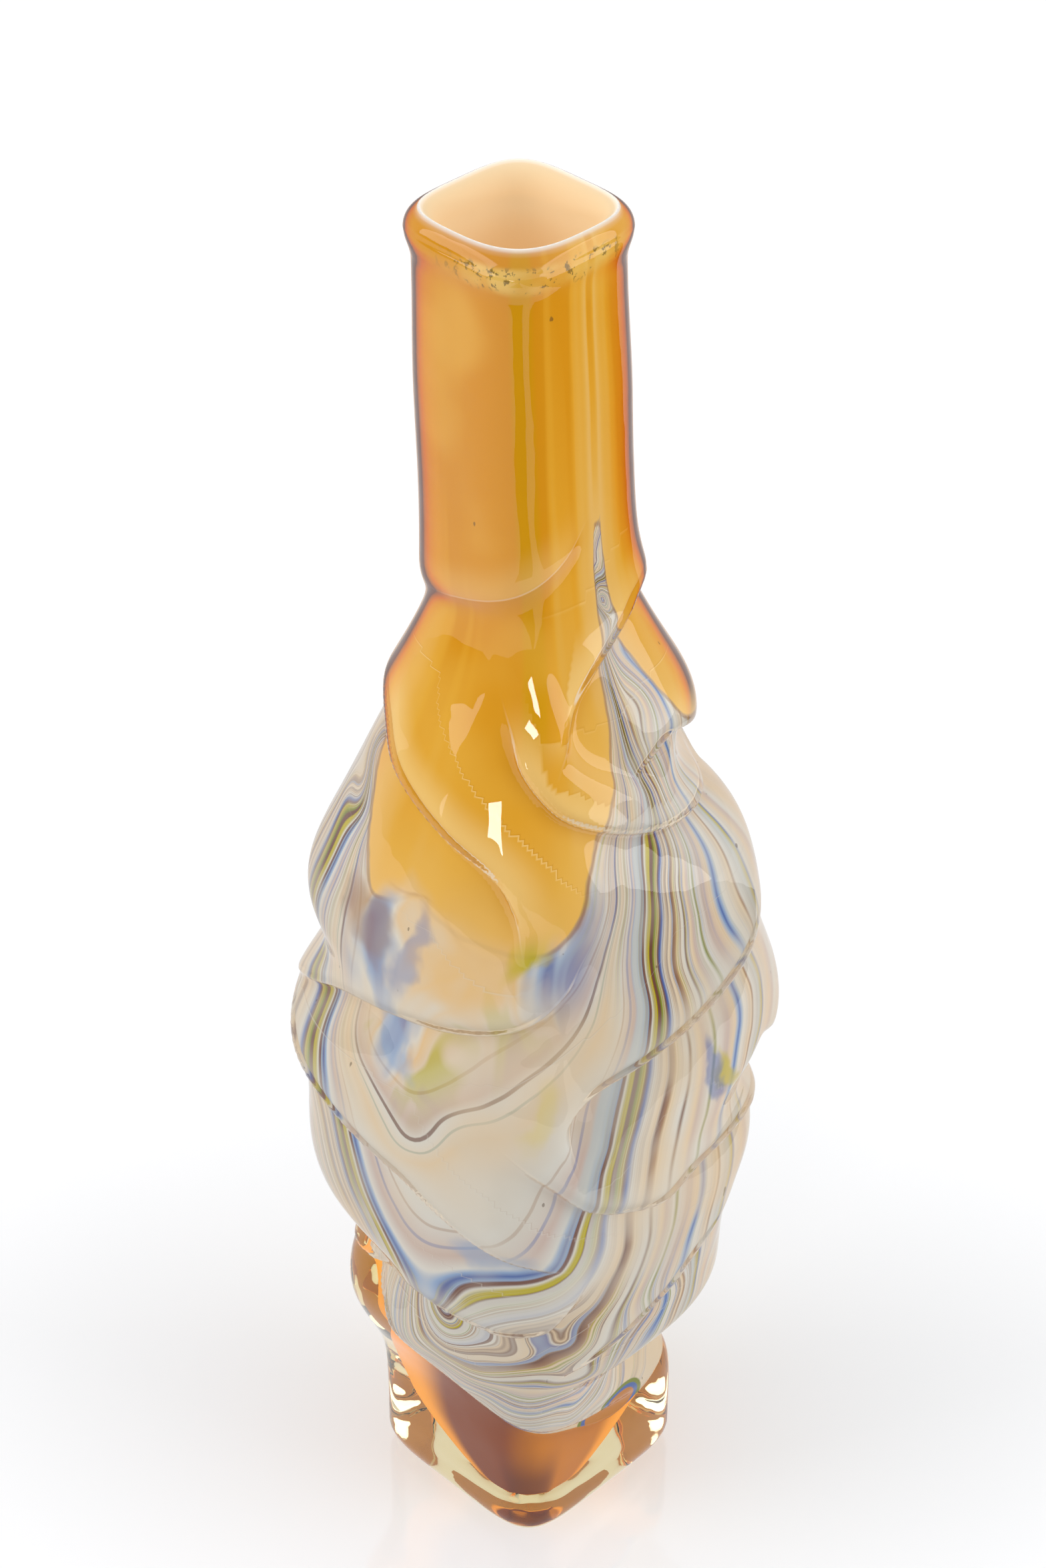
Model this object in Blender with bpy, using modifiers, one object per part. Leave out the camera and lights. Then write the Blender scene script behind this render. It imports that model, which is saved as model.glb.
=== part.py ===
"""Blown glass vase: a square neck, a belly pressed into long folds and a thick square foot.

The vase is one piece of glass, and it is made here the way the glass was. A round blank is turned
from its section. Its neck and foot are squared, its soft wall is pressed into overlapping folds,
and last its base is ground flat. Metres, +Z up. The origin is the centre of the ground base, and
the front corner of the neck and foot points to -Y.
"""

import math
from collections import namedtuple

import bmesh
import bpy
import numpy as np

# Heights of the three parts of the vase, from the table up
FOOT_HEIGHT = 0.040
BODY_HEIGHT = 0.300
NECK_HEIGHT = 0.110

# Outer radii, measured to the corners where the section is square
BASE_RADIUS = 0.0400
FOOT_RADIUS = 0.0455
WAIST_RADIUS = 0.0455
HIP_RADIUS = 0.0555
BELLY_RADIUS = 0.0660
SHOULDER_RADIUS = 0.0580
COLLAR_RADIUS = 0.0420
NECK_RADIUS = 0.0290
THROAT_RADIUS = 0.0280
RIM_RADIUS = 0.0298

# How far the axis wanders to the right of the base's centre at the foot, belly, collar and rim
FOOT_LEAN = 0.0018
BELLY_LEAN = 0.0028
COLLAR_LEAN = 0.0034
RIM_LEAN = -0.0011

# Glass thickness, and the lip that the neck was sheared and fire polished to
NECK_WALL = 0.0085
BELLY_WALL = 0.0120
FLOOR_THICKNESS = 0.042
LIP_HEIGHT = 0.014
LIP_ROUND = 0.0054
FOOT_ROUND = 0.0080

# How square a section is: 2 is round, and 6 has tight corners
FOOT_SQUARE = 5.4
BODY_SQUARE = 2.4
NECK_SQUARE = 3.3
RIM_SQUARE = 3.9

# How far the glass below a fold's edge is pressed in, as a share of the fold's depth, and how far
# the cavity's wall follows the broad swells of the outside
UNDERCUT = 0.6
CAVITY_FOLLOWS = 0.6

# Share of a fold's line over which it dies away at each end, how far along its line the edge is
# evened out, and how far from the line nothing is left of the fold
LINE_FADE = 0.22
LINE_BLEND = 0.0012
LINE_REACH = 0.045

# Mesh: sides and rows of the blank, points along a fold's line, and the finished vase's triangles
SIDES = 220
OUTER_ROWS = 300
LIP_ROWS = 11
CAVITY_ROWS = 40
LINE_POINTS = 80
TRIANGLES = 11600

NECK_BASE = FOOT_HEIGHT + BODY_HEIGHT
TOP = NECK_BASE + NECK_HEIGHT

# The unground base lies this far below the table, and a facet's corner nearer than SETTLE to the
# true surface belongs to it
GRIND = 0.0010
SETTLE = 0.0020

# Height stations of the body's radii, as shares of the body's height
HIP_AT = 0.16
BELLY_AT = 0.42
SHOULDER_AT = 0.700
COLLAR_AT = 0.857

# A fold bulges above its line and is pressed in below it: depth, width of the edge, and reach above
# and below it in metres. The line runs round the vase from left to right, as angles in degrees from
# the front corner and shares of the body's height.
Fold = namedtuple("Fold", "depth edge above below line")
FOLDS = {
    "neck_left": Fold(0.0020, 0.0040, 0.022, 0.012, [
        (-150, 0.99), (-100, 0.985), (-66, 0.995), (-31, 1.01), (-4, 1.03), (22, 1.06), (43, 1.09)]),
    "neck_right": Fold(0.0030, 0.0011, 0.010, 0.010, [
        (9, 0.865), (13, 0.890), (20, 0.918), (33, 0.941), (50, 0.960), (64, 0.974), (80, 0.990),
        (110, 1.000), (140, 0.985)]),
    "scoop_right": Fold(-0.0028, 0.0022, 0.016, 0.009, [
        (4, 0.975), (8, 0.945), (12, 0.912), (14, 0.884), (20, 0.864), (33, 0.842), (46, 0.822),
        (60, 0.805)]),
    "nose_right": Fold(0.0030, 0.0014, 0.016, 0.009, [
        (36, 0.815), (50, 0.842), (62, 0.857), (76, 0.846), (92, 0.828), (120, 0.815), (145, 0.83)]),
    "shoulder_left": Fold(0.0042, 0.0012, 0.020, 0.014, [
        (-130, 0.90), (-100, 0.885), (-77, 0.863), (-59, 0.827), (-31, 0.797), (-13, 0.773), (-5, 0.737),
        (-3, 0.690)]),
    "shoulder_right": Fold(0.0036, 0.0011, 0.008, 0.012, [
        (-16, 0.925), (-9, 0.895), (-5, 0.872), (2, 0.847), (10, 0.826), (23, 0.806), (42, 0.783),
        (58, 0.770), (75, 0.762), (95, 0.758), (120, 0.77)]),
    "drape_left": Fold(0.0050, 0.0012, 0.022, 0.014, [
        (-105, 0.49), (-81, 0.540), (-62, 0.573), (-39, 0.596), (-21, 0.607), (-5, 0.622), (7, 0.652),
        (16, 0.693)]),
    "drape_right": Fold(0.0052, 0.0012, 0.020, 0.014, [
        (12, 0.445), (9, 0.485), (10, 0.520), (17, 0.548), (31, 0.563), (47, 0.577), (62, 0.598),
        (78, 0.622), (100, 0.645)]),
    "belly_left": Fold(0.0046, 0.0012, 0.026, 0.014, [
        (-110, 0.52), (-88, 0.49), (-66, 0.454), (-50, 0.428), (-36, 0.410), (-26, 0.385), (-13, 0.350),
        (-1, 0.323), (12, 0.30)]),
    "belly_right": Fold(0.0048, 0.0012, 0.022, 0.014, [
        (-10, 0.485), (4, 0.438), (13, 0.403), (23, 0.385), (36, 0.374), (50, 0.387), (70, 0.383),
        (92, 0.372), (112, 0.365)]),
    "hip_left": Fold(0.0044, 0.0011, 0.014, 0.012, [
        (-110, 0.14), (-90, 0.159), (-74, 0.176), (-55, 0.204), (-37, 0.225), (-18, 0.219), (-9, 0.213),
        (3, 0.221), (11, 0.252), (18, 0.303)]),
    "hip_right": Fold(0.0040, 0.0012, 0.014, 0.012, [
        (8, 0.125), (18, 0.160), (33, 0.194), (47, 0.222), (60, 0.262), (80, 0.295)]),
    "skirt_right": Fold(0.0036, 0.0018, 0.020, 0.012, [
        (12, 0.095), (30, 0.112), (47, 0.122), (70, 0.135), (95, 0.145), (125, 0.155)]),
    "foot_seam": Fold(0.0036, 0.0016, 0.022, 0.012, [
        (-95, 0.21), (-63, 0.160), (-52, 0.123), (-38, 0.092), (-26, 0.072), (-14, 0.054), (-1, 0.036),
        (23, 0.012), (54, -0.006), (80, -0.012)]),
    "back_right": Fold(0.0040, 0.0016, 0.024, 0.010, [
        (80, 0.475), (92, 0.440), (108, 0.428), (125, 0.438), (142, 0.47)]),
    "back_shoulder": Fold(0.0040, 0.0013, 0.020, 0.012, [
        (105, 0.74), (130, 0.765), (155, 0.79), (180, 0.83), (205, 0.86)]),
    "back_drape": Fold(0.0050, 0.0013, 0.024, 0.014, [
        (122, 0.66), (145, 0.61), (170, 0.575), (195, 0.56), (220, 0.58), (242, 0.63)]),
    "back_belly": Fold(0.0048, 0.0013, 0.024, 0.014, [
        (135, 0.29), (150, 0.34), (170, 0.39), (192, 0.425), (215, 0.43), (238, 0.39)]),
    "back_hip": Fold(0.0042, 0.0013, 0.020, 0.012, [
        (120, 0.24), (145, 0.205), (175, 0.19), (205, 0.20), (230, 0.235), (250, 0.29)]),
}

# Broad swells and hollows: angle in degrees and share of the body's height where it is, depth in
# metres, half width in degrees and half height in metres
Swell = namedtuple("Swell", "angle share depth wide high")
SWELLS = {
    "nose_bulge_right": Swell(80, 0.885, 0.0030, 24, 0.013),
    "pinch_right": Swell(92, 0.785, -0.0100, 28, 0.011),
    "swell_front": Swell(-22, 0.860, 0.0020, 30, 0.022),
    "lobe_right": Swell(84, 0.670, 0.0045, 30, 0.018),
    "lobe_back_right": Swell(108, 0.500, 0.0080, 22, 0.018),
    "pinch_waist_right": Swell(86, 0.412, -0.0075, 26, 0.008),
    "lobe_flank_right": Swell(84, 0.335, 0.0032, 28, 0.012),
    "pinch_foot_right": Swell(88, 0.058, -0.0100, 34, 0.009),
    "flank_shoulder_left": Swell(-88, 0.800, -0.0014, 40, 0.030),
    "lobe_left": Swell(-85, 0.660, 0.0055, 28, 0.012),
    "pinch_left": Swell(-85, 0.585, -0.0060, 26, 0.009),
    "lobe_belly_left": Swell(-85, 0.480, 0.0045, 30, 0.014),
    "lobe_flank_left": Swell(-85, 0.310, 0.0040, 28, 0.016),
    "pinch_hip_left": Swell(-85, 0.210, -0.0145, 30, 0.009),
    "lobe_hip_left": Swell(-88, 0.100, 0.0055, 28, 0.014),
}


def remove_everything():
    """Start from an empty scene."""
    for thing in list(bpy.data.objects):
        bpy.data.objects.remove(thing)


def smooth_steps(x, stations):
    """A curve that passes through (x, value) stations with level turning points and no overshoot."""
    xs = np.array([s[0] for s in stations], float)
    ys = np.array([s[1] for s in stations], float)
    rise = np.diff(ys) / np.diff(xs)
    slope = np.zeros_like(ys)
    same_way = rise[:-1] * rise[1:] > 0
    slope[1:-1][same_way] = (2 * rise[:-1] * rise[1:] / (rise[:-1] + rise[1:] + 1e-12))[same_way]
    x = np.clip(x, xs[0], xs[-1])
    i = np.clip(np.searchsorted(xs, x) - 1, 0, len(xs) - 2)
    width = xs[i + 1] - xs[i]
    t = (x - xs[i]) / width
    first = ys[i] * (1 + 2 * t) + slope[i] * width * t
    last = ys[i + 1] * (3 - 2 * t) + slope[i + 1] * width * (t - 1)
    return first * (1 - t) ** 2 + last * t ** 2


def on_body(share):
    """Height of a point given as a share of the body's height."""
    return FOOT_HEIGHT + share * BODY_HEIGHT


def outer_radius(height):
    """Radius of the turned blank's outside, to the corners of its square sections."""
    return smooth_steps(height, [
        (0.0, FOOT_RADIUS),
        (0.4 * FOOT_HEIGHT, FOOT_RADIUS),
        (FOOT_HEIGHT, WAIST_RADIUS),
        (on_body(HIP_AT), HIP_RADIUS),
        (on_body(BELLY_AT), BELLY_RADIUS),
        (on_body(SHOULDER_AT), SHOULDER_RADIUS),
        (on_body(COLLAR_AT), COLLAR_RADIUS),
        (NECK_BASE, NECK_RADIUS),
        (NECK_BASE + 0.5 * NECK_HEIGHT, NECK_RADIUS),
        (TOP - LIP_HEIGHT, THROAT_RADIUS),
        (TOP - 0.4 * LIP_HEIGHT, RIM_RADIUS),
        (TOP, RIM_RADIUS),
    ])


def lean(height):
    """How far the axis lies to the right of the base's centre."""
    return smooth_steps(height, [
        (0.0, FOOT_LEAN),
        (FOOT_HEIGHT, FOOT_LEAN),
        (on_body(HIP_AT), BELLY_LEAN),
        (on_body(SHOULDER_AT), BELLY_LEAN),
        (on_body(COLLAR_AT), COLLAR_LEAN),
        (NECK_BASE + 0.5 * NECK_HEIGHT, 0.0),
        (TOP, RIM_LEAN),
    ])


def section_power(height):
    """How square the section is at a height, as the power of a superellipse."""
    return smooth_steps(height, [
        (0.0, FOOT_SQUARE),
        (FOOT_HEIGHT, FOOT_SQUARE),
        (on_body(HIP_AT), BODY_SQUARE),
        (on_body(COLLAR_AT), BODY_SQUARE),
        (NECK_BASE + 0.1 * NECK_HEIGHT, NECK_SQUARE),
        (TOP - LIP_HEIGHT, NECK_SQUARE),
        (TOP, RIM_SQUARE),
    ])


def squared(angle, power):
    """Share of the corner radius at an angle, with the corners at the front, sides and back."""
    turned = angle + math.pi / 4
    across = (np.abs(np.cos(turned)) ** power + np.abs(np.sin(turned)) ** power) ** (-1 / power)
    return across * 2 ** (1 / power - 0.5)


def fold_line(points):
    """Points close together on a smooth line through a fold's few points: angle and height."""
    given = np.array([(math.radians(a), on_body(s)) for a, s in points])
    ends = np.vstack([2 * given[0] - given[1], given, 2 * given[-1] - given[-2]])
    spans = len(given) - 1
    t = np.linspace(0, spans, LINE_POINTS)
    i = np.minimum(t.astype(int), spans - 1)
    u = (t - i)[:, None]
    a, b, c, d = (ends[i + k] for k in range(4))
    bend = (2 * a - 5 * b + 4 * c - d) * u ** 2 + (3 * b - 3 * c + d - a) * u ** 3
    return 0.5 * (2 * b + (c - a) * u + bend)


def turn_between(angle):
    """The same angle between minus and plus half a turn."""
    return (angle + math.pi) % (2 * math.pi) - math.pi


def fold_push(angle, height, fold):
    """How far one fold moves the wall outwards at each angle and height."""
    line = fold_line(fold.line)
    scale = outer_radius(line[:, 1])
    around = turn_between(angle[:, None] - line[None, :, 0]) * scale
    up = height[:, None] - line[None, :, 1]
    distance = np.hypot(around, up)
    closest = distance.min(axis=1, keepdims=True)
    weight = np.exp((closest - distance) / LINE_BLEND)
    weight /= weight.sum(axis=1, keepdims=True)
    run = np.gradient(line[:, 0]) * scale
    rise = np.gradient(line[:, 1])
    away = (weight * (run * up - rise * around) / np.hypot(run, rise)).sum(axis=1)
    along = np.linspace(0, 1, LINE_POINTS)
    fade = np.clip(along / LINE_FADE, 0, 1) * np.clip((1 - along) / LINE_FADE, 0, 1)
    fade = weight @ (fade * fade * (3 - 2 * fade)) * np.exp(-(closest[:, 0] / LINE_REACH) ** 4)
    crest = 0.5 * (1 + np.tanh(away / fold.edge))
    swell = np.exp(-(np.maximum(away, 0) / fold.above) ** 1.4)
    hollow = -UNDERCUT * np.exp(-(np.minimum(away, 0) / fold.below) ** 2)
    return fold.depth * fade * (crest * swell + (1 - crest) * hollow)


def swell_push(angle, height, swell):
    """How far one broad swell or hollow moves the wall outwards."""
    around = turn_between(angle - math.radians(swell.angle)) / math.radians(swell.wide)
    up = (height - on_body(swell.share)) / swell.high
    return swell.depth * np.exp(-0.5 * (around ** 2 + up ** 2))


def folded(angle, height):
    """How far all folds move the outer wall."""
    return sum(fold_push(angle, height, fold) for fold in FOLDS.values())


def swollen(angle, height):
    """How far all broad swells and hollows move the outer wall."""
    return sum(swell_push(angle, height, swell) for swell in SWELLS.values())


def skin_point(angle, height):
    """Points on the vase's outside at given angles and heights."""
    radius = outer_radius(height) * squared(angle, section_power(height))
    return round_point(angle, radius + folded(angle, height) + swollen(angle, height), height)


def round_point(angle, radius, height):
    """Points at angles from the front corner and distances from the leaning axis."""
    return np.column_stack([radius * np.sin(angle) + lean(height), -radius * np.cos(angle), height])


def cavity_section():
    """Points up the cavity's wall, from the centre of its floor to the lip."""
    floor = FLOOR_THICKNESS
    heights = floor + np.linspace(0, 1, CAVITY_ROWS) ** 1.4 * (TOP - LIP_ROUND - floor)
    wall = smooth_steps(heights, [
        (floor, BELLY_WALL), (on_body(COLLAR_AT), BELLY_WALL), (NECK_BASE, NECK_WALL), (TOP, NECK_WALL)])
    rounding = 1 - np.clip((heights - floor) / FLOOR_THICKNESS, 0, 1)
    radii = (outer_radius(heights) - wall) * np.sqrt(1 - rounding ** 2)
    return list(zip(radii, heights))


def lip_section():
    """Points over the rounded lip, from the bore to the outside."""
    half = NECK_WALL / 2
    middle = RIM_RADIUS - half
    turns = np.linspace(math.pi, 0, LIP_ROWS + 2)[1:-1]
    return [(middle + half * math.cos(t), TOP - LIP_ROUND + LIP_ROUND * math.sin(t)) for t in turns]


def outside_section():
    """Points down the outside and round the edge of the foot, to the centre of the unground base."""
    heights = np.linspace(TOP - LIP_ROUND, FOOT_ROUND, OUTER_ROWS)
    edge = np.linspace(0, math.pi / 2, LIP_ROWS)[1:]
    side = list(zip(outer_radius(heights), heights))
    edge_width = FOOT_RADIUS - BASE_RADIUS
    edge_height = FOOT_ROUND + GRIND
    under = [(BASE_RADIUS + edge_width * math.cos(t), FOOT_ROUND - edge_height * math.sin(t)) for t in edge]
    return side + under + [(0.0, -GRIND)]


def turned_blank():
    """The round blank: half a section on a screw, from the cavity's floor over the lip to the base."""
    section = cavity_section() + lip_section() + outside_section()
    mesh = bpy.data.meshes.new("blank")
    mesh.from_pydata([(r, 0.0, h) for r, h in section], [(i, i + 1) for i in range(len(section) - 1)], [])
    blank = bpy.data.objects.new("blank", mesh)
    bpy.context.scene.collection.objects.link(blank)
    screw = blank.modifiers.new("turn", "SCREW")
    screw.steps = SIDES
    screw.render_steps = SIDES
    screw.use_merge_vertices = True
    screw.merge_threshold = 0.0001
    return finished_mesh(blank)


def finished_mesh(thing):
    """The mesh of an object with its modifiers applied; the object itself is removed."""
    graph = bpy.context.evaluated_depsgraph_get()
    mesh = bpy.data.meshes.new_from_object(thing.evaluated_get(graph))
    bpy.data.objects.remove(thing)
    return mesh


def read_points(mesh):
    """The places of a mesh's vertices, one row each."""
    where = np.zeros(len(mesh.vertices) * 3)
    mesh.vertices.foreach_get("co", where)
    return where.reshape(-1, 3)


def write_points(mesh, points):
    """Moves a mesh's vertices to new places."""
    mesh.vertices.foreach_set("co", points.ravel())
    mesh.update()


def round_axis(points):
    """Angle from the front corner, distance from the leaning axis, and height of points."""
    x, y, height = points.T
    x = x - lean(height)
    return np.arctan2(x, -y), np.hypot(x, y), height


def work_glass(mesh):
    """Squares the neck and foot, presses the folds into the outside and lets the cavity follow softly."""
    x, y, height = read_points(mesh).T
    angle = np.arctan2(x, -y)
    radius = np.hypot(x, y)
    inward = outer_radius(height) - radius
    skin = np.clip(1 - inward / (0.5 * NECK_WALL), 0, 1)
    lifted = np.clip(height / FOOT_ROUND, 0, 1)
    cavity = CAVITY_FOLLOWS * (1 - skin) * np.clip(radius / FOOT_ROUND, 0, 1)
    push = folded(angle, height) * skin + swollen(angle, height) * (skin + cavity)
    radius = radius * squared(angle, section_power(height)) + push * lifted
    write_points(mesh, round_point(angle, radius, height))


def fewer_facets(mesh):
    """The same form with facets only where it bends."""
    thing = bpy.data.objects.new("worked", mesh)
    bpy.context.scene.collection.objects.link(thing)
    mesh.calc_loop_triangles()
    decimate = thing.modifiers.new("facets", "DECIMATE")
    decimate.ratio = TRIANGLES / len(mesh.loop_triangles)
    decimate.use_collapse_triangulate = True
    return settle_on_skin(finished_mesh(thing))


def settle_on_skin(mesh):
    """Puts the outside corners of the facets back on the true surface."""
    corners = read_points(mesh)
    angle, radius, height = round_axis(corners)
    true = skin_point(angle, height)
    moved = np.linalg.norm(true - corners, axis=1)
    side = (moved < SETTLE) & (height > FOOT_ROUND) & (height < TOP - LIP_ROUND)
    corners[side] = true[side]
    write_points(mesh, corners)
    return mesh


def grind_base(mesh):
    """Grinds the base flat at the table's height."""
    glass = bmesh.new()
    glass.from_mesh(mesh)
    everything = glass.verts[:] + glass.edges[:] + glass.faces[:]
    bmesh.ops.bisect_plane(
        glass, geom=everything, dist=1e-7, plane_co=(0, 0, 0), plane_no=(0, 0, -1), clear_outer=True)
    rim = [e for e in glass.edges if e.is_boundary]
    bmesh.ops.edgenet_fill(glass, edges=rim)
    bmesh.ops.recalc_face_normals(glass, faces=glass.faces[:])
    glass.to_mesh(mesh)
    glass.free()
    return mesh


def glass_material():
    """Amber cased glass."""
    material = bpy.data.materials.new("cased_glass")
    material.use_nodes = True
    shader = material.node_tree.nodes["Principled BSDF"]
    shader.inputs["Base Color"].default_value = (0.80, 0.55, 0.25, 1.0)
    shader.inputs["Roughness"].default_value = 0.05
    shader.inputs["Metallic"].default_value = 0.0
    return material


def build_vase():
    """The whole vase as one closed solid."""
    collection = bpy.data.collections.new("vase")
    bpy.context.scene.collection.children.link(collection)
    mesh = turned_blank()
    work_glass(mesh)
    mesh = grind_base(fewer_facets(mesh))
    mesh.name = "vase"
    mesh.materials.clear()
    mesh.materials.append(glass_material())
    mesh.shade_smooth()
    mesh.set_sharp_from_angle(angle=math.radians(50))
    vase = bpy.data.objects.new("vase", mesh)
    collection.objects.link(vase)


remove_everything()
build_vase()
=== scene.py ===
# %% [markdown]
# # A blown glass vase with a folded body
# The vase is one piece of thick glass, about 45 cm tall. A glassblower gathers white opal glass
# and colours it, covers it with clear glass, squares the neck and the foot, and presses the soft
# body into long folds. What the eye sees is three layers: a clear, glossy outside, colour a few
# millimetres under it, and pale opal glass inside. This script builds those layers as two closed
# pieces, a coloured core and a clear casing, because only real thickness in front of the colour
# gives the depth of cased glass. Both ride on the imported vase, which stays as the solid body.

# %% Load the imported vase
import math
from collections import namedtuple

import bpy
import numpy as np
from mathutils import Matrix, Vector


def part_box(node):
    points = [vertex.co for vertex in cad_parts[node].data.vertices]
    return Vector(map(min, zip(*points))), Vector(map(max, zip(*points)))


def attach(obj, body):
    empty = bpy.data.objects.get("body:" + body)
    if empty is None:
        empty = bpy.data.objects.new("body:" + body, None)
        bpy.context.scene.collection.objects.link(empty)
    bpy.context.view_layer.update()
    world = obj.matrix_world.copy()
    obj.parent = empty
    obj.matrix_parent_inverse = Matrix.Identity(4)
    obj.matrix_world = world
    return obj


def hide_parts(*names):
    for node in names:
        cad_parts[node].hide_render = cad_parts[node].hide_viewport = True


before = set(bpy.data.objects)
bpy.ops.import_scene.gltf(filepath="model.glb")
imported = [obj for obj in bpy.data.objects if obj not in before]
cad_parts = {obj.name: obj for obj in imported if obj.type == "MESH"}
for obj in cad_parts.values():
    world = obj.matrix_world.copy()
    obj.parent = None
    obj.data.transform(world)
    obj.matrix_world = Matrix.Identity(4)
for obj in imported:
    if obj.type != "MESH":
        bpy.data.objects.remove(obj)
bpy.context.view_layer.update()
low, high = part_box("vase")
print("packed vase:", [round(float(h - l), 4) for l, h in zip(low, high)])

# %% [markdown]
# ## The form of the vase
# The glass was first a turned shape and was then worked. The turned shape is a radius for each
# height. The square neck and foot are a superellipse, whose power says how tight the corners are.
# All lengths are metres and the front corner of the neck points to -Y. The values are those of
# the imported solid, so that the pieces made here lie exactly on it.

# %% Heights, radii and glass thickness
FOOT_HEIGHT = 0.040
BODY_HEIGHT = 0.300
NECK_HEIGHT = 0.110
NECK_BASE = FOOT_HEIGHT + BODY_HEIGHT
TOP = NECK_BASE + NECK_HEIGHT
FLOOR_THICKNESS = 0.042
LIP_HEIGHT = 0.014
LIP_ROUND = 0.0054
FOOT_ROUND = 0.0080
BASE_RADIUS = 0.0400
RIM_RADIUS = 0.0298


def on_body(share):
    """Height of a point given as a share of the body's height."""
    return FOOT_HEIGHT + share * BODY_HEIGHT


RADII = [(0.0, 0.0455), (0.016, 0.0455), (FOOT_HEIGHT, 0.0455), (on_body(0.16), 0.0555), (on_body(0.42), 0.0660),
         (on_body(0.70), 0.0580), (on_body(0.857), 0.0420), (NECK_BASE, 0.0290), (0.395, 0.0290),
         (TOP - LIP_HEIGHT, 0.0280), (TOP - 0.4 * LIP_HEIGHT, RIM_RADIUS), (TOP, RIM_RADIUS)]
LEANS = [(0.0, 0.0018), (FOOT_HEIGHT, 0.0018), (on_body(0.16), 0.0028), (on_body(0.70), 0.0028),
         (on_body(0.857), 0.0034), (0.395, 0.0), (TOP, -0.0011)]
POWERS = [(0.0, 5.4), (FOOT_HEIGHT, 5.4), (on_body(0.16), 2.4), (on_body(0.857), 2.4), (0.351, 3.3),
          (TOP - LIP_HEIGHT, 3.3), (TOP, 3.9)]
WALLS = [(0.0, 0.0120), (on_body(0.857), 0.0120), (NECK_BASE, 0.0085), (TOP, 0.0085)]


# %% Smooth curves through a few values
def smooth_steps(x, stations):
    """A curve through (x, value) stations with level turning points and no overshoot."""
    xs = np.array([s[0] for s in stations], float)
    ys = np.array([s[1] for s in stations], float)
    rise = np.diff(ys) / np.diff(xs)
    slope = np.zeros_like(ys)
    same_way = rise[:-1] * rise[1:] > 0
    slope[1:-1][same_way] = (2 * rise[:-1] * rise[1:] / (rise[:-1] + rise[1:] + 1e-12))[same_way]
    x = np.clip(x, xs[0], xs[-1])
    i = np.clip(np.searchsorted(xs, x) - 1, 0, len(xs) - 2)
    width = xs[i + 1] - xs[i]
    t = (x - xs[i]) / width
    first = ys[i] * (1 + 2 * t) + slope[i] * width * t
    last = ys[i + 1] * (3 - 2 * t) + slope[i + 1] * width * (t - 1)
    return first * (1 - t) ** 2 + last * t ** 2


def squared(angle, height):
    """Share of the corner radius at an angle, with corners at the front, sides and back."""
    power = smooth_steps(height, POWERS)
    turned = angle + math.pi / 4
    across = (np.abs(np.cos(turned)) ** power + np.abs(np.sin(turned)) ** power) ** (-1 / power)
    return across * 2 ** (1 / power - 0.5)


def turn_between(angle):
    """The same angle between minus and plus half a turn."""
    return (angle + math.pi) % (2 * math.pi) - math.pi


def soft_step(x, start, end):
    """0 before start and 1 after end, with a smooth rise between."""
    t = np.clip((x - start) / (end - start), 0, 1)
    return t * t * (3 - 2 * t)


# %% [markdown]
# ## The folds
# Each fold is a long line that runs round the body from left to right. Above the line the glass
# bulges out, and just below it the wall is pressed in, so the edge catches the light. A line is a
# few points, an angle from the front corner and a share of the body's height. Sculpting by hand
# would give the same form, but a table of lines can be mended one fold at a time.

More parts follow.
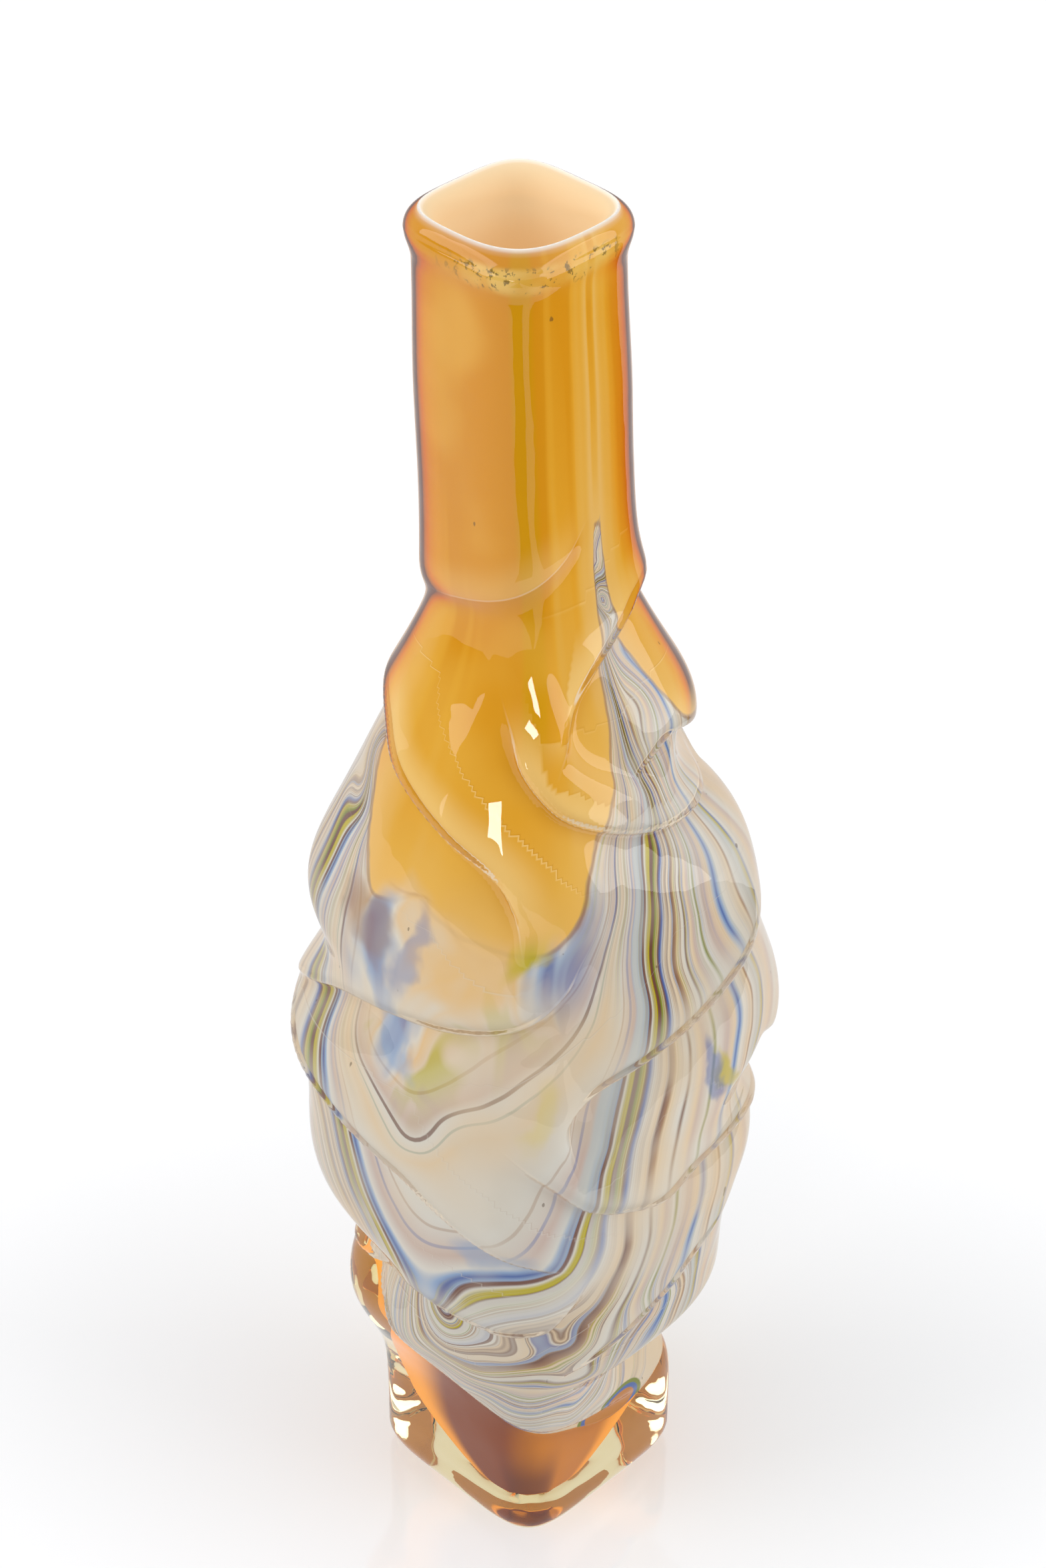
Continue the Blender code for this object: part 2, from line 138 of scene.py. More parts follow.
# %% The lines of the folds and the broad swells
Fold = namedtuple("Fold", "depth edge above below line")
FOLDS = {
    "neck_left": Fold(0.0020, 0.0040, 0.022, 0.012, [
        (-150, 0.99), (-100, 0.985), (-66, 0.995), (-31, 1.01), (-4, 1.03), (22, 1.06), (43, 1.09)]),
    "neck_right": Fold(0.0030, 0.0011, 0.010, 0.010, [
        (9, 0.865), (13, 0.890), (20, 0.918), (33, 0.941), (50, 0.960), (64, 0.974), (80, 0.990), (110, 1.000),
        (140, 0.985)]),
    "scoop_right": Fold(-0.0028, 0.0022, 0.016, 0.009, [
        (4, 0.975), (8, 0.945), (12, 0.912), (14, 0.884), (20, 0.864), (33, 0.842), (46, 0.822), (60, 0.805)]),
    "nose_right": Fold(0.0030, 0.0014, 0.016, 0.009, [
        (36, 0.815), (50, 0.842), (62, 0.857), (76, 0.846), (92, 0.828), (120, 0.815), (145, 0.83)]),
    "shoulder_left": Fold(0.0042, 0.0012, 0.020, 0.014, [
        (-130, 0.90), (-100, 0.885), (-77, 0.863), (-59, 0.827), (-31, 0.797), (-13, 0.773), (-5, 0.737),
        (-3, 0.690)]),
    "shoulder_right": Fold(0.0036, 0.0011, 0.008, 0.012, [
        (-16, 0.925), (-9, 0.895), (-5, 0.872), (2, 0.847), (10, 0.826), (23, 0.806), (42, 0.783), (58, 0.770),
        (75, 0.762), (95, 0.758), (120, 0.77)]),
    "drape_left": Fold(0.0050, 0.0012, 0.022, 0.014, [
        (-105, 0.49), (-81, 0.540), (-62, 0.573), (-39, 0.596), (-21, 0.607), (-5, 0.622), (7, 0.652),
        (16, 0.693)]),
    "drape_right": Fold(0.0052, 0.0012, 0.020, 0.014, [
        (12, 0.445), (9, 0.485), (10, 0.520), (17, 0.548), (31, 0.563), (47, 0.577), (62, 0.598), (78, 0.622),
        (100, 0.645)]),
    "belly_left": Fold(0.0046, 0.0012, 0.026, 0.014, [
        (-110, 0.52), (-88, 0.49), (-66, 0.454), (-50, 0.428), (-36, 0.410), (-26, 0.385), (-13, 0.350),
        (-1, 0.323), (12, 0.30)]),
    "belly_right": Fold(0.0048, 0.0012, 0.022, 0.014, [
        (-10, 0.485), (4, 0.438), (13, 0.403), (23, 0.385), (36, 0.374), (50, 0.387), (70, 0.383), (92, 0.372),
        (112, 0.365)]),
    "hip_left": Fold(0.0044, 0.0011, 0.014, 0.012, [
        (-110, 0.14), (-90, 0.159), (-74, 0.176), (-55, 0.204), (-37, 0.225), (-18, 0.219), (-9, 0.213),
        (3, 0.221), (11, 0.252), (18, 0.303)]),
    "hip_right": Fold(0.0040, 0.0012, 0.014, 0.012, [
        (8, 0.125), (18, 0.160), (33, 0.194), (47, 0.222), (60, 0.262), (80, 0.295)]),
    "skirt_right": Fold(0.0036, 0.0018, 0.020, 0.012, [
        (12, 0.095), (30, 0.112), (47, 0.122), (70, 0.135), (95, 0.145), (125, 0.155)]),
    "foot_seam": Fold(0.0036, 0.0016, 0.022, 0.012, [
        (-95, 0.21), (-63, 0.160), (-52, 0.123), (-38, 0.092), (-26, 0.072), (-14, 0.054), (-1, 0.036),
        (23, 0.012), (54, -0.006), (80, -0.012)]),
    "back_right": Fold(0.0040, 0.0016, 0.024, 0.010, [
        (80, 0.475), (92, 0.440), (108, 0.428), (125, 0.438), (142, 0.47)]),
    "back_shoulder": Fold(0.0040, 0.0013, 0.020, 0.012, [
        (105, 0.74), (130, 0.765), (155, 0.79), (180, 0.83), (205, 0.86)]),
    "back_drape": Fold(0.0050, 0.0013, 0.024, 0.014, [
        (122, 0.66), (145, 0.61), (170, 0.575), (195, 0.56), (220, 0.58), (242, 0.63)]),
    "back_belly": Fold(0.0048, 0.0013, 0.024, 0.014, [
        (135, 0.29), (150, 0.34), (170, 0.39), (192, 0.425), (215, 0.43), (238, 0.39)]),
    "back_hip": Fold(0.0042, 0.0013, 0.020, 0.012, [
        (120, 0.24), (145, 0.205), (175, 0.19), (205, 0.20), (230, 0.235), (250, 0.29)]),
}
Swell = namedtuple("Swell", "angle share depth wide high")
SWELLS = {
    "nose_bulge_right": Swell(80, 0.885, 0.0030, 24, 0.013),
    "pinch_right": Swell(92, 0.785, -0.0100, 28, 0.011),
    "swell_front": Swell(-22, 0.860, 0.0020, 30, 0.022),
    "lobe_right": Swell(84, 0.670, 0.0045, 30, 0.018),
    "lobe_back_right": Swell(108, 0.500, 0.0080, 22, 0.018),
    "pinch_waist_right": Swell(86, 0.412, -0.0075, 26, 0.008),
    "lobe_flank_right": Swell(84, 0.335, 0.0032, 28, 0.012),
    "pinch_foot_right": Swell(88, 0.058, -0.0100, 34, 0.009),
    "flank_shoulder_left": Swell(-88, 0.800, -0.0014, 40, 0.030),
    "lobe_left": Swell(-85, 0.660, 0.0055, 28, 0.012),
    "pinch_left": Swell(-85, 0.585, -0.0060, 26, 0.009),
    "lobe_belly_left": Swell(-85, 0.480, 0.0045, 30, 0.014),
    "lobe_flank_left": Swell(-85, 0.310, 0.0040, 28, 0.016),
    "pinch_hip_left": Swell(-85, 0.210, -0.0145, 30, 0.009),
    "lobe_hip_left": Swell(-88, 0.100, 0.0055, 28, 0.014),
}


# %% How far the folds push the wall
UNDERCUT = 0.6
LINE_FADE = 0.22
LINE_BLEND = 0.0012
LINE_REACH = 0.045
LINE_POINTS = 80


def fold_line(points):
    """Points close together on a smooth line through a fold's few points: angle and height."""
    given = np.array([(math.radians(a), on_body(s)) for a, s in points])
    ends = np.vstack([2 * given[0] - given[1], given, 2 * given[-1] - given[-2]])
    spans = len(given) - 1
    t = np.linspace(0, spans, LINE_POINTS)
    i = np.minimum(t.astype(int), spans - 1)
    u = (t - i)[:, None]
    a, b, c, d = (ends[i + k] for k in range(4))
    return 0.5 * (2 * b + (c - a) * u + (2 * a - 5 * b + 4 * c - d) * u ** 2 + (3 * b - 3 * c + d - a) * u ** 3)


def beside_fold(angle, height, fold):
    """Distance of points above a fold's line, and how strong the fold is there."""
    line = fold_line(fold.line)
    scale = smooth_steps(line[:, 1], RADII)
    around = turn_between(angle[:, None] - line[None, :, 0]) * scale
    up = height[:, None] - line[None, :, 1]
    distance = np.hypot(around, up)
    closest = distance.min(axis=1, keepdims=True)
    weight = np.exp((closest - distance) / LINE_BLEND)
    weight /= weight.sum(axis=1, keepdims=True)
    run = np.gradient(line[:, 0]) * scale
    rise = np.gradient(line[:, 1])
    away = (weight * (run * up - rise * around) / np.hypot(run, rise)).sum(axis=1)
    along = np.linspace(0, 1, LINE_POINTS)
    fade = np.clip(along / LINE_FADE, 0, 1) * np.clip((1 - along) / LINE_FADE, 0, 1)
    fade = weight @ (fade * fade * (3 - 2 * fade)) * np.exp(-(closest[:, 0] / LINE_REACH) ** 4)
    return away, fade, closest[:, 0]


def fold_push(angle, height, fold, softer):
    """How far one fold moves the wall outwards; a softer fold has a wider edge."""
    away, fade, closest = beside_fold(angle, height, fold)
    crest = 0.5 * (1 + np.tanh(away / (fold.edge + softer)))
    swell = np.exp(-(np.maximum(away, 0) / fold.above) ** 1.4)
    hollow = -UNDERCUT * np.exp(-(np.minimum(away, 0) / fold.below) ** 2)
    return fold.depth * fade * (crest * swell + (1 - crest) * hollow)


def folded(angle, height, softer=0.0):
    """How far all folds move the wall, worked out for the band of heights that each one reaches."""
    push = np.zeros_like(angle)
    for fold in FOLDS.values():
        heights = [on_body(s) for a, s in fold.line]
        near = (height > min(heights) - 0.07) & (height < max(heights) + 0.07)
        push[near] += fold_push(angle[near], height[near], fold, softer)
    return push


def nearest_fold(angle, height):
    """Distance above and distance from the nearest fold's line, in millimetres, and the fold's strength."""
    best = np.full(len(angle), 0.03)
    off = np.full(len(angle), 30.0)
    strong = np.zeros(len(angle))
    for fold in FOLDS.values():
        heights = [on_body(s) for a, s in fold.line]
        near = np.flatnonzero((height > min(heights) - 0.03) & (height < max(heights) + 0.03))
        away, fade, closest = beside_fold(angle[near], height[near], fold)
        nearer = closest < best[near]
        best[near[nearer]] = closest[nearer]
        off[near[nearer]] = np.clip(away[nearer] * 1000, -30, 30)
        strong[near[nearer]] = fade[nearer] * np.sign(fold.depth)
    return off, best * 1000, strong


def swollen(angle, height):
    """How far the broad swells and pinches move the wall."""
    push = np.zeros_like(angle)
    for swell in SWELLS.values():
        around = turn_between(angle - math.radians(swell.angle)) / math.radians(swell.wide)
        up = (height - on_body(swell.share)) / swell.high
        push += swell.depth * np.exp(-0.5 * (around ** 2 + up ** 2))
    return push


# %% [markdown]
# ## The layers under the skin
# Clear glass about 3 mm thick lies over the colour. At the foot the colour stops at a slanting
# seam, and below it only a pointed heart of amber glass hangs in the clear foot. The cavity wall
# follows the outside softly, as blown glass does. One function gives each layer's distance from
# the axis at any angle and height.

# %% Distances of the skin, the colour and the cavity from the axis
CLEAR = 0.0028
SEAM = [(-180, 0.10), (-140, 0.16), (-95, 0.195), (-63, 0.135), (-52, 0.098), (-38, 0.066), (-26, 0.046),
        (-14, 0.028), (-1, 0.016), (12, 0.000), (23, -0.012), (40, -0.026), (54, -0.030), (80, -0.012),
        (120, 0.03), (150, 0.06), (180, 0.10)]
HEART = [(0.0045, 0.0), (0.0080, 0.0078), (0.0130, 0.0155), (0.0200, 0.0240), (0.029, 0.0310), (0.045, 0.0350),
         (0.070, 0.0360), (0.110, 0.040)]
HEART_POWER = 11.0
HEART_FORWARD = [(0.0045, 0.0200), (0.0080, 0.0170), (0.0130, 0.0125), (0.0200, 0.0070), (0.029, 0.0012),
                 (0.036, 0.0), (0.110, 0.0)]


def seam_height(angle):
    """Height at which the colour stops, all round the foot."""
    return on_body(smooth_steps(np.degrees(angle), SEAM))


def skin_radius(angle, height):
    """Distance of the outside from the axis."""
    turned = smooth_steps(height, RADII) * squared(angle, height)
    return turned + folded(angle, height) + swollen(angle, height)


def cavity_radius(angle, height):
    """Distance of the cavity's wall from the axis."""
    turned = (smooth_steps(height, RADII) - smooth_steps(height, WALLS)) * squared(angle, height)
    rounding = 1 - np.clip((height - FLOOR_THICKNESS) / FLOOR_THICKNESS, 0, 1)
    return (turned + 0.6 * swollen(angle, height)) * np.sqrt(1 - rounding ** 2)


def colour_radius(angle, height):
    """Distance of the colour from the axis: the skin with softer folds, less the clear glass."""
    turned = smooth_steps(height, RADII) * squared(angle, height)
    body = turned + 0.85 * folded(angle, height, 0.0010) + 0.9 * swollen(angle, height) - CLEAR
    turned = angle + math.pi / 4
    sharp = (np.abs(np.cos(turned)) ** HEART_POWER + np.abs(np.sin(turned)) ** HEART_POWER) ** (-1 / HEART_POWER)
    heart = smooth_steps(height, HEART) * sharp * 2 ** (1 / HEART_POWER - 0.5)
    below = soft_step(seam_height(angle) - height, -0.001, 0.007)
    return body + (np.minimum(heart, body) - body) * below


def round_point(angle, radius, height):
    """Points at angles from the front corner and distances from the leaning axis."""
    return np.column_stack([radius * np.sin(angle) + smooth_steps(height, LEANS), -radius * np.cos(angle), height])


# %% [markdown]
# ## A sheet rolled into a closed vessel
# Blender's grid primitive is a flat sheet with a UV map. Rolled round the axis and drawn to a
# point at both ends, it becomes a closed shell whose rows of faces run up the glass as its threads
# of colour do. Spinning a section would give the same shell, but a fold can't be spun, so the
# sheet's rows are laid straight on the worked form.

# %% Roll a grid into a piece of glass
def rolled_glass(name, sides, rows):
    """A closed shell from rows of (radius for each angle, height for each angle)."""
    bpy.ops.object.select_all(action="DESELECT")
    bpy.ops.mesh.primitive_grid_add(x_subdivisions=sides, y_subdivisions=len(rows) - 1, size=2.0)
    glass = bpy.context.object
    glass.name = name
    glass.data.name = name
    sheet = np.empty(len(glass.data.vertices) * 3)
    glass.data.vertices.foreach_get("co", sheet)
    across = (sheet.reshape(-1, 3)[:, 0] + 1) / 2
    row = np.rint((sheet.reshape(-1, 3)[:, 1] + 1) / 2 * (len(rows) - 1)).astype(int)
    side = np.rint(across * sides).astype(int) % sides
    angle = side * 2 * math.pi / sides - math.pi
    radius = np.array([r for r, h in rows])[row, side]
    height = np.array([h for r, h in rows])[row, side]
    glass.data.vertices.foreach_set("co", round_point(angle, radius, height).ravel())
    bpy.ops.object.mode_set(mode="EDIT")
    bpy.ops.mesh.select_all(action="SELECT")
    bpy.ops.mesh.remove_doubles(threshold=0.00001)
    bpy.ops.mesh.normals_make_consistent(inside=False)
    bpy.ops.object.mode_set(mode="OBJECT")
    bpy.ops.object.shade_smooth()
    glass.data.calc_loop_triangles()
    print(name, "has", len(glass.data.loop_triangles), "triangles")
    return glass


def ring_angles(sides):
    """The angle of each side, from the back round the left, front and right."""
    return np.arange(sides) * 2 * math.pi / sides - math.pi


def row_heights(spans):
    """Heights for rows of faces: (end height, spacing) pairs from a start height."""
    heights = [spans[0][0]]
    for end, spacing in spans[1:]:
        steps = max(1, round(abs(end - heights[-1]) / spacing))
        heights += list(np.linspace(heights[-1], end, steps + 1)[1:])
    return heights


# %% [markdown]
# ## The coloured core
# The core is the opal layer with its colours and, below the seam, the amber heart. Its edge shows
# at the mouth as a thin white ring. It is opaque, as the opal of the real vase nearly is, so the
# clear casing may end inside it unseen.

# %% Build the coloured core
CORE_SIDES = 240
BORE_RADIUS = RIM_RADIUS - 0.0085
RING_RADIUS = 0.0255
RING_HALF = 0.0005
LIP_DEPTH = 0.0085
FRONT_DRAWN_IN = 0.09


def core_rows(sides):
    """Rows of the core from the tip of the heart, up the outside, over the ring and down the cavity."""
    angle = ring_angles(sides)
    level = np.ones(sides)
    rows = [(0 * level, HEART[0][0] * level)]
    spans = [(0.0054, 0), (FOOT_HEIGHT, 0.0014), (NECK_BASE, 0.0012), (TOP - 0.006, 0.0030)]
    for height in row_heights(spans):
        rows.append((colour_radius(angle, height * level), height * level))
    square = squared(angle, TOP * level) * (1 - FRONT_DRAWN_IN * np.exp(-(angle / math.radians(24)) ** 2))
    for radius, drop in ((0.0266, 0.0026), (RING_RADIUS + 2 * RING_HALF, 0.0012)):
        rows.append((radius * square, (TOP - drop) * level))
    for turn in np.linspace(0, math.pi, 7):
        drop = 0.0004 * (1 - math.sin(turn))
        rows.append(((RING_RADIUS + RING_HALF * math.cos(turn)) * square, (TOP - drop) * level))
    start = RING_RADIUS - RING_HALF
    for turn in np.linspace(0, math.pi / 2, 10)[1:]:
        radius = start - (start - BORE_RADIUS) * math.sin(turn)
        rows.append((radius * square, (TOP - 0.0006 - LIP_DEPTH * (1 - math.cos(turn))) * level))
    spans = [(FLOOR_THICKNESS, 0), (0.055, 0.002), (NECK_BASE, 0.006), (TOP - LIP_DEPTH - 0.003, 0.006)]
    for height in reversed(row_heights(spans)):
        rows.append((cavity_radius(angle, height * level), height * level))
    return rows


core = rolled_glass("colour_core", CORE_SIDES, core_rows(CORE_SIDES))
corners = np.empty(len(core.data.vertices) * 3)
core.data.vertices.foreach_get("co", corners)
corners = corners.reshape(-1, 3)
corners[:, 1] -= smooth_steps(corners[:, 2], HEART_FORWARD)
core.data.vertices.foreach_set("co", corners.ravel())

# %% [markdown]
# ## The clear casing
# The casing is a closed solid of clear glass. Its outside is the vase's skin, it is rounded over
# at the lip, and its inner side runs down inside the opaque core, where no ray reaches it. Light
# therefore enters only once, is bent as by solid glass, and stops on the colour.

# %% Build the clear casing
CASING_SIDES = 240


def casing_rows(sides):
    """Rows of the casing from the base's centre, round the foot, up the skin, over the lip and back inside."""
    angle = ring_angles(sides)
    level = np.ones(sides)
    foot = smooth_steps(0.0, RADII)
    kick = [(0.0, 0.0014), (0.006, 0.0009), (0.012, 0.0003), (0.018, 0.0007), (0.024, 0.0009), (0.030, 0.0003),
            (0.035, 0.0006), (BASE_RADIUS - 0.001, 0.0)]
    rows = [(r * squared(angle, 0 * level), z * level) for r, z in kick]
    for turn in np.linspace(0, math.pi / 2, 12)[:-1]:
        height = FOOT_ROUND * (1 - math.cos(turn)) * level
        radius = BASE_RADIUS + (foot - BASE_RADIUS) * math.sin(turn)
        rows.append((radius * squared(angle, height) + skin_push(angle, height), height))
    spans = [(FOOT_ROUND, 0), (FOOT_HEIGHT, 0.0014), (NECK_BASE, 0.00115), (TOP - LIP_ROUND, 0.0024)]
    for height in row_heights(spans):
        rows.append((skin_radius(angle, height * level), height * level))
    square = squared(angle, TOP * level)
    for turn in np.linspace(0, math.pi / 2, 12)[1:]:
        drawn = 1 - FRONT_DRAWN_IN * math.sin(turn) * np.exp(-(angle / math.radians(24)) ** 2)
        radius = RING_RADIUS + (RIM_RADIUS - RING_RADIUS) * math.cos(turn)
        rows.append((radius * square * drawn, (TOP - 0.0004 - LIP_ROUND * (1 - math.sin(turn))) * level))
    rows.append(((RING_RADIUS - 0.0004) * square * drawn, (TOP - 0.0024) * level))
    for height in reversed(row_heights([(0.034, 0), (NECK_BASE, 0.008), (TOP - 0.014, 0.008)])):
        outer = colour_radius(angle, height * level)
        inner_wall = np.where(height > FLOOR_THICKNESS, cavity_radius(angle, height * level), 0.6 * outer)
        rows.append((0.5 * (outer + inner_wall), height * level))
    rows.append((0 * level, 0.034 * level))
    return rows


def skin_push(angle, height):
    """The folds' push at the foot, faded to nothing at the table."""
    return (folded(angle, height) + swollen(angle, height)) * np.clip(height / FOOT_ROUND, 0, 1)


casing = rolled_glass("glass_casing", CASING_SIDES, casing_rows(CASING_SIDES))

# %% [markdown]
# ## Streams of colour
# The colour was laid on as threads and chips, and was drawn out as the glass was worked, so it
# lies in long streams: down the right of the neck in a tight bundle, round under the belly in
# wide slack curves, and up the left side again. A stream is a line on the glass with a number.
# Between the lines the number is worked out smoothly all round the vase, and a material that
# reads it draws bands that follow the streams, crowded in the bundle and wide on the belly.

# %% The lines that the colours follow
STREAMS = {
    0.00: [(0, 0.86), (-22, 0.80), (-45, 0.84), (8, 1.00), (-60, 1.00), (-30, 1.15), (15, 1.25), (190, 1.05),
           (170, 1.25), (-100, 1.20)],
    0.30: [(47, 1.07), (46, 0.98), (39, 0.92), (34, 0.86), (28, 0.82), (18, 0.77), (12, 0.72), (-6, 0.69),
           (-20, 0.695), (-33, 0.725), (-45, 0.72), (-54, 0.725), (-63, 0.755), (-70, 0.785), (-78, 0.811),
           (150, 1.10), (152, 0.90), (168, 0.77), (190, 0.72), (212, 0.77), (228, 0.90), (230, 1.00)],
    0.37: [(-30, 0.520)],
    0.43: [(-31, 0.428), (-20, 0.455)],
    0.40: [(49, 1.05), (47, 0.97), (39, 0.90), (35, 0.83), (29, 0.78), (25, 0.73), (16, 0.64), (-4, 0.558),
           (-23, 0.503), (-32, 0.464), (-39, 0.478), (-49, 0.506), (-59, 0.54), (-63, 0.60), (-62, 0.68),
           (-68, 0.765), (-78, 0.82), (150, 0.82), (168, 0.68), (190, 0.62), (212, 0.68), (230, 0.80)],
    0.52: [(50, 1.02), (46, 0.95), (41, 0.89), (44, 0.84), (45, 0.80), (40, 0.76), (34, 0.70), (33, 0.62),
           (28, 0.55), (20, 0.47), (14, 0.39), (6, 0.31), (-6, 0.289), (-17, 0.281), (-28, 0.25), (-40, 0.255),
           (-50, 0.32), (-61, 0.40), (-64, 0.47), (-72, 0.54), (-76, 0.62), (-75, 0.70), (-80, 0.79),
           (149, 0.72), (168, 0.56), (190, 0.50), (212, 0.57), (231, 0.72)],
    0.60: [(47, 0.99), (44, 0.91), (46, 0.85), (50, 0.80), (49, 0.75), (42, 0.70), (40, 0.62), (37, 0.53),
           (28, 0.46), (22, 0.37), (17, 0.29), (4, 0.248), (-8, 0.233), (-24, 0.185), (-40, 0.18), (-52, 0.25),
           (-62, 0.335), (-70, 0.40), (-76, 0.49), (-86, 0.56), (-84, 0.65), (-84, 0.75), (147, 0.66),
           (167, 0.49), (190, 0.43), (213, 0.50), (233, 0.64)],
    0.70: [(54, 0.98), (50, 0.90), (53, 0.84), (56, 0.78), (50, 0.72), (47, 0.64), (49, 0.57), (43, 0.46),
           (37, 0.38), (34, 0.30), (27, 0.22), (18, 0.16), (0, 0.145), (-15, 0.122), (-32, 0.135), (-48, 0.175),
           (-62, 0.27), (-76, 0.37), (-88, 0.46), (-97, 0.56), (-93, 0.68), (-92, 0.78), (145, 0.58),
           (166, 0.42), (190, 0.36), (214, 0.43), (235, 0.56)],
    0.85: [(66, 0.99), (64, 0.90), (68, 0.82), (68, 0.74), (63, 0.69), (69, 0.61), (72, 0.53), (65, 0.43),
           (56, 0.33), (48, 0.21), (38, 0.10), (22, 0.06), (5, 0.06), (-12, 0.068), (-30, 0.072), (-46, 0.115),
           (-60, 0.17), (-75, 0.26), (-92, 0.37), (-108, 0.50), (-108, 0.66), (141, 0.46), (164, 0.28),
           (190, 0.22), (216, 0.30), (238, 0.44)],
    1.00: [(84, 0.95), (80, 0.83), (84, 0.73), (84, 0.60), (80, 0.44), (72, 0.30), (60, 0.14), (42, 0.05),
           (20, 0.02), (0, 0.03), (-20, 0.055), (-40, 0.09), (-60, 0.135), (-78, 0.19), (-96, 0.27),
           (-115, 0.40), (-124, 0.58), (-120, 0.75), (120, 0.95), (125, 0.75), (130, 0.50), (130, 0.25),
           (136, 0.24), (160, 0.12), (190, 0.08), (215, 0.16)],
}
AMBER_ENDS = [(-180, 0.86), (-140, 0.84), (-100, 0.85), (-86, 0.835), (-78, 0.80), (-70, 0.765), (-62, 0.728),
              (-54, 0.702), (-46, 0.705), (-38, 0.722), (-30, 0.712), (-18, 0.705), (-6, 0.695), (4, 0.700),
              (12, 0.720), (18, 0.770), (26, 0.815), (32, 0.840), (35, 0.870), (39, 0.920), (44, 0.975),
              (48, 1.080), (53, 1.080), (57, 0.985), (62, 0.930), (66, 0.890), (72, 0.862), (82, 0.852),
              (95, 0.862), (120, 0.910), (150, 0.890), (180, 0.86)]


# %% Work out the stream's number at any point
DRUM = 0.055
SLACK = 0.008


def on_drum(angle, height):
    """Points laid on a plain drum, so that the field joins up at the back."""
    return np.column_stack([DRUM * np.sin(angle), -DRUM * np.cos(angle), height])


known = [(math.radians(a), on_body(s), value) for value, line in STREAMS.items() for a, s in line]
known = np.array(known)
posts = on_drum(known[:, 0], known[:, 1])
gaps = np.sqrt(((posts[:, None] - posts[None]) ** 2).sum(axis=2) + SLACK ** 2)
system = np.block([[gaps, np.ones((len(posts), 1))], [np.ones((1, len(posts))), np.zeros((1, 1))]])
pulls = np.linalg.solve(system, np.append(known[:, 2], 0.0))


def stream_at(angle, height):
    """The stream's number at points of the vase, and how fast it changes there."""
    here = on_drum(angle, height)
    found = np.empty(len(here))
    slope = np.empty(len(here))
    for start in range(0, len(here), 20000):
        part = here[start:start + 20000]
        away = part[:, None] - posts[None]
        reach = np.sqrt((away ** 2).sum(axis=2) + SLACK ** 2)
        found[start:start + 20000] = reach @ pulls[:-1] + pulls[-1]
        slope[start:start + 20000] = np.linalg.norm(np.einsum("pki,pk,k->pi", away, 1 / reach, pulls[:-1]), axis=1)
    return found, slope


def amber_depth(angle, height):
    """Distance of points inside the amber from its edge, in metres; less than nothing outside it."""
    edge = on_body(smooth_steps(np.degrees(angle), AMBER_ENDS))
    beside = on_body(smooth_steps(np.degrees(angle) + 1, AMBER_ENDS))
    slope = (beside - edge) / (DRUM * math.radians(1))
    return (height - edge) / np.hypot(1, slope)


print("streams:", len(known), "points, numbers", round(float(known[:, 2].min()), 2), "to", known[:, 2].max())

# %% [markdown]
# ## What the core's material reads
# Each corner of the core carries a few numbers: its stream, how far it is inside the amber, how
# crowded the streams are there, how far it is above the seam, and whether it is in the mouth. The
# mesh is fine, so the numbers run smoothly and the shader can draw lines thinner than a face.

# %% Write the numbers on the core
def write_numbers(piece, name, values):
    """Stores one number for each corner point of a mesh."""
    layer = piece.data.attributes.new(name, "FLOAT", "POINT")
    layer.data.foreach_set("value", np.asarray(values, np.float32))


def read_points(piece):
    """Angle, distance from the axis and height of a mesh's points."""
    where = np.empty(len(piece.data.vertices) * 3)
    piece.data.vertices.foreach_get("co", where)
    x, y, height = where.reshape(-1, 3).T
    x = x - smooth_steps(height, LEANS)
    return np.arctan2(x, -y), np.hypot(x, y), height


angle, radius, height = read_points(core)
stream, slope = stream_at(angle, height)
inner = colour_radius(angle, np.minimum(height, TOP - 0.006)) - radius
share_out = radius / squared(angle, height) / (1 - FRONT_DRAWN_IN * np.exp(-(angle / math.radians(24)) ** 2))
at_ring = np.exp(-((share_out - RING_RADIUS) / 0.0007) ** 2) * (height > TOP - 0.0022)
over_lip = (height > TOP - LIP_DEPTH) & (share_out < RING_RADIUS) & (inner > 0.0002)
write_numbers(core, "stream", stream)
write_numbers(core, "crowd", np.clip(slope / 30, 0, 1))
write_numbers(core, "amber", amber_depth(angle, height) * 100)
write_numbers(core, "above_seam", (height - seam_height(angle)) * 100)
in_cavity = soft_step(inner, 0.0030, 0.0045) * (height > FLOOR_THICKNESS - 0.0005)
write_numbers(core, "mouth", np.maximum(in_cavity, over_lip))
write_numbers(core, "ring", at_ring)
# The nearest fold's distances and strength, read by the painted highlights and shade along the folds.
off, near, strong = nearest_fold(angle, height)
write_numbers(core, "fold_off", off)
write_numbers(core, "fold_near", near)
write_numbers(core, "fold_strong", np.clip(strong, 0, 1))
write_numbers(core, "turn", np.degrees(angle))
across = radius * np.sin(angle)
ahead = radius * np.cos(angle) - smooth_steps(height, HEART_FORWARD)
write_numbers(core, "heart_turn", np.degrees(np.arctan2(across, ahead)))
print("stream on the core:", round(float(stream.min()), 2), "to", round(float(stream.max()), 2))

# %% [markdown]
# ## Materials
# Materials are made of nodes. A few small helpers keep each recipe short: one adds a node, one
# makes a colour ramp from named colours, and one reads a number that the mesh carries.

# %% Helpers for node recipes
CREAM = (0.72, 0.56, 0.38)
MILK = (0.68, 0.65, 0.60)
PALE = (0.60, 0.55, 0.48)
ICE = (0.50, 0.52, 0.52)
LILAC = (0.56, 0.43, 0.38)
BROWN = (0.16, 0.065, 0.045)
UMBER = (0.33, 0.17, 0.08)
SLATE = (0.07, 0.13, 0.38)
SKY = (0.27, 0.38, 0.58)
OLIVE = (0.20, 0.23, 0.03)
CITRON = (0.50, 0.41, 0.003)
SAGE = (0.30, 0.35, 0.27)
RUST = (0.42, 0.15, 0.03)
SAND = (0.76, 0.50, 0.23)


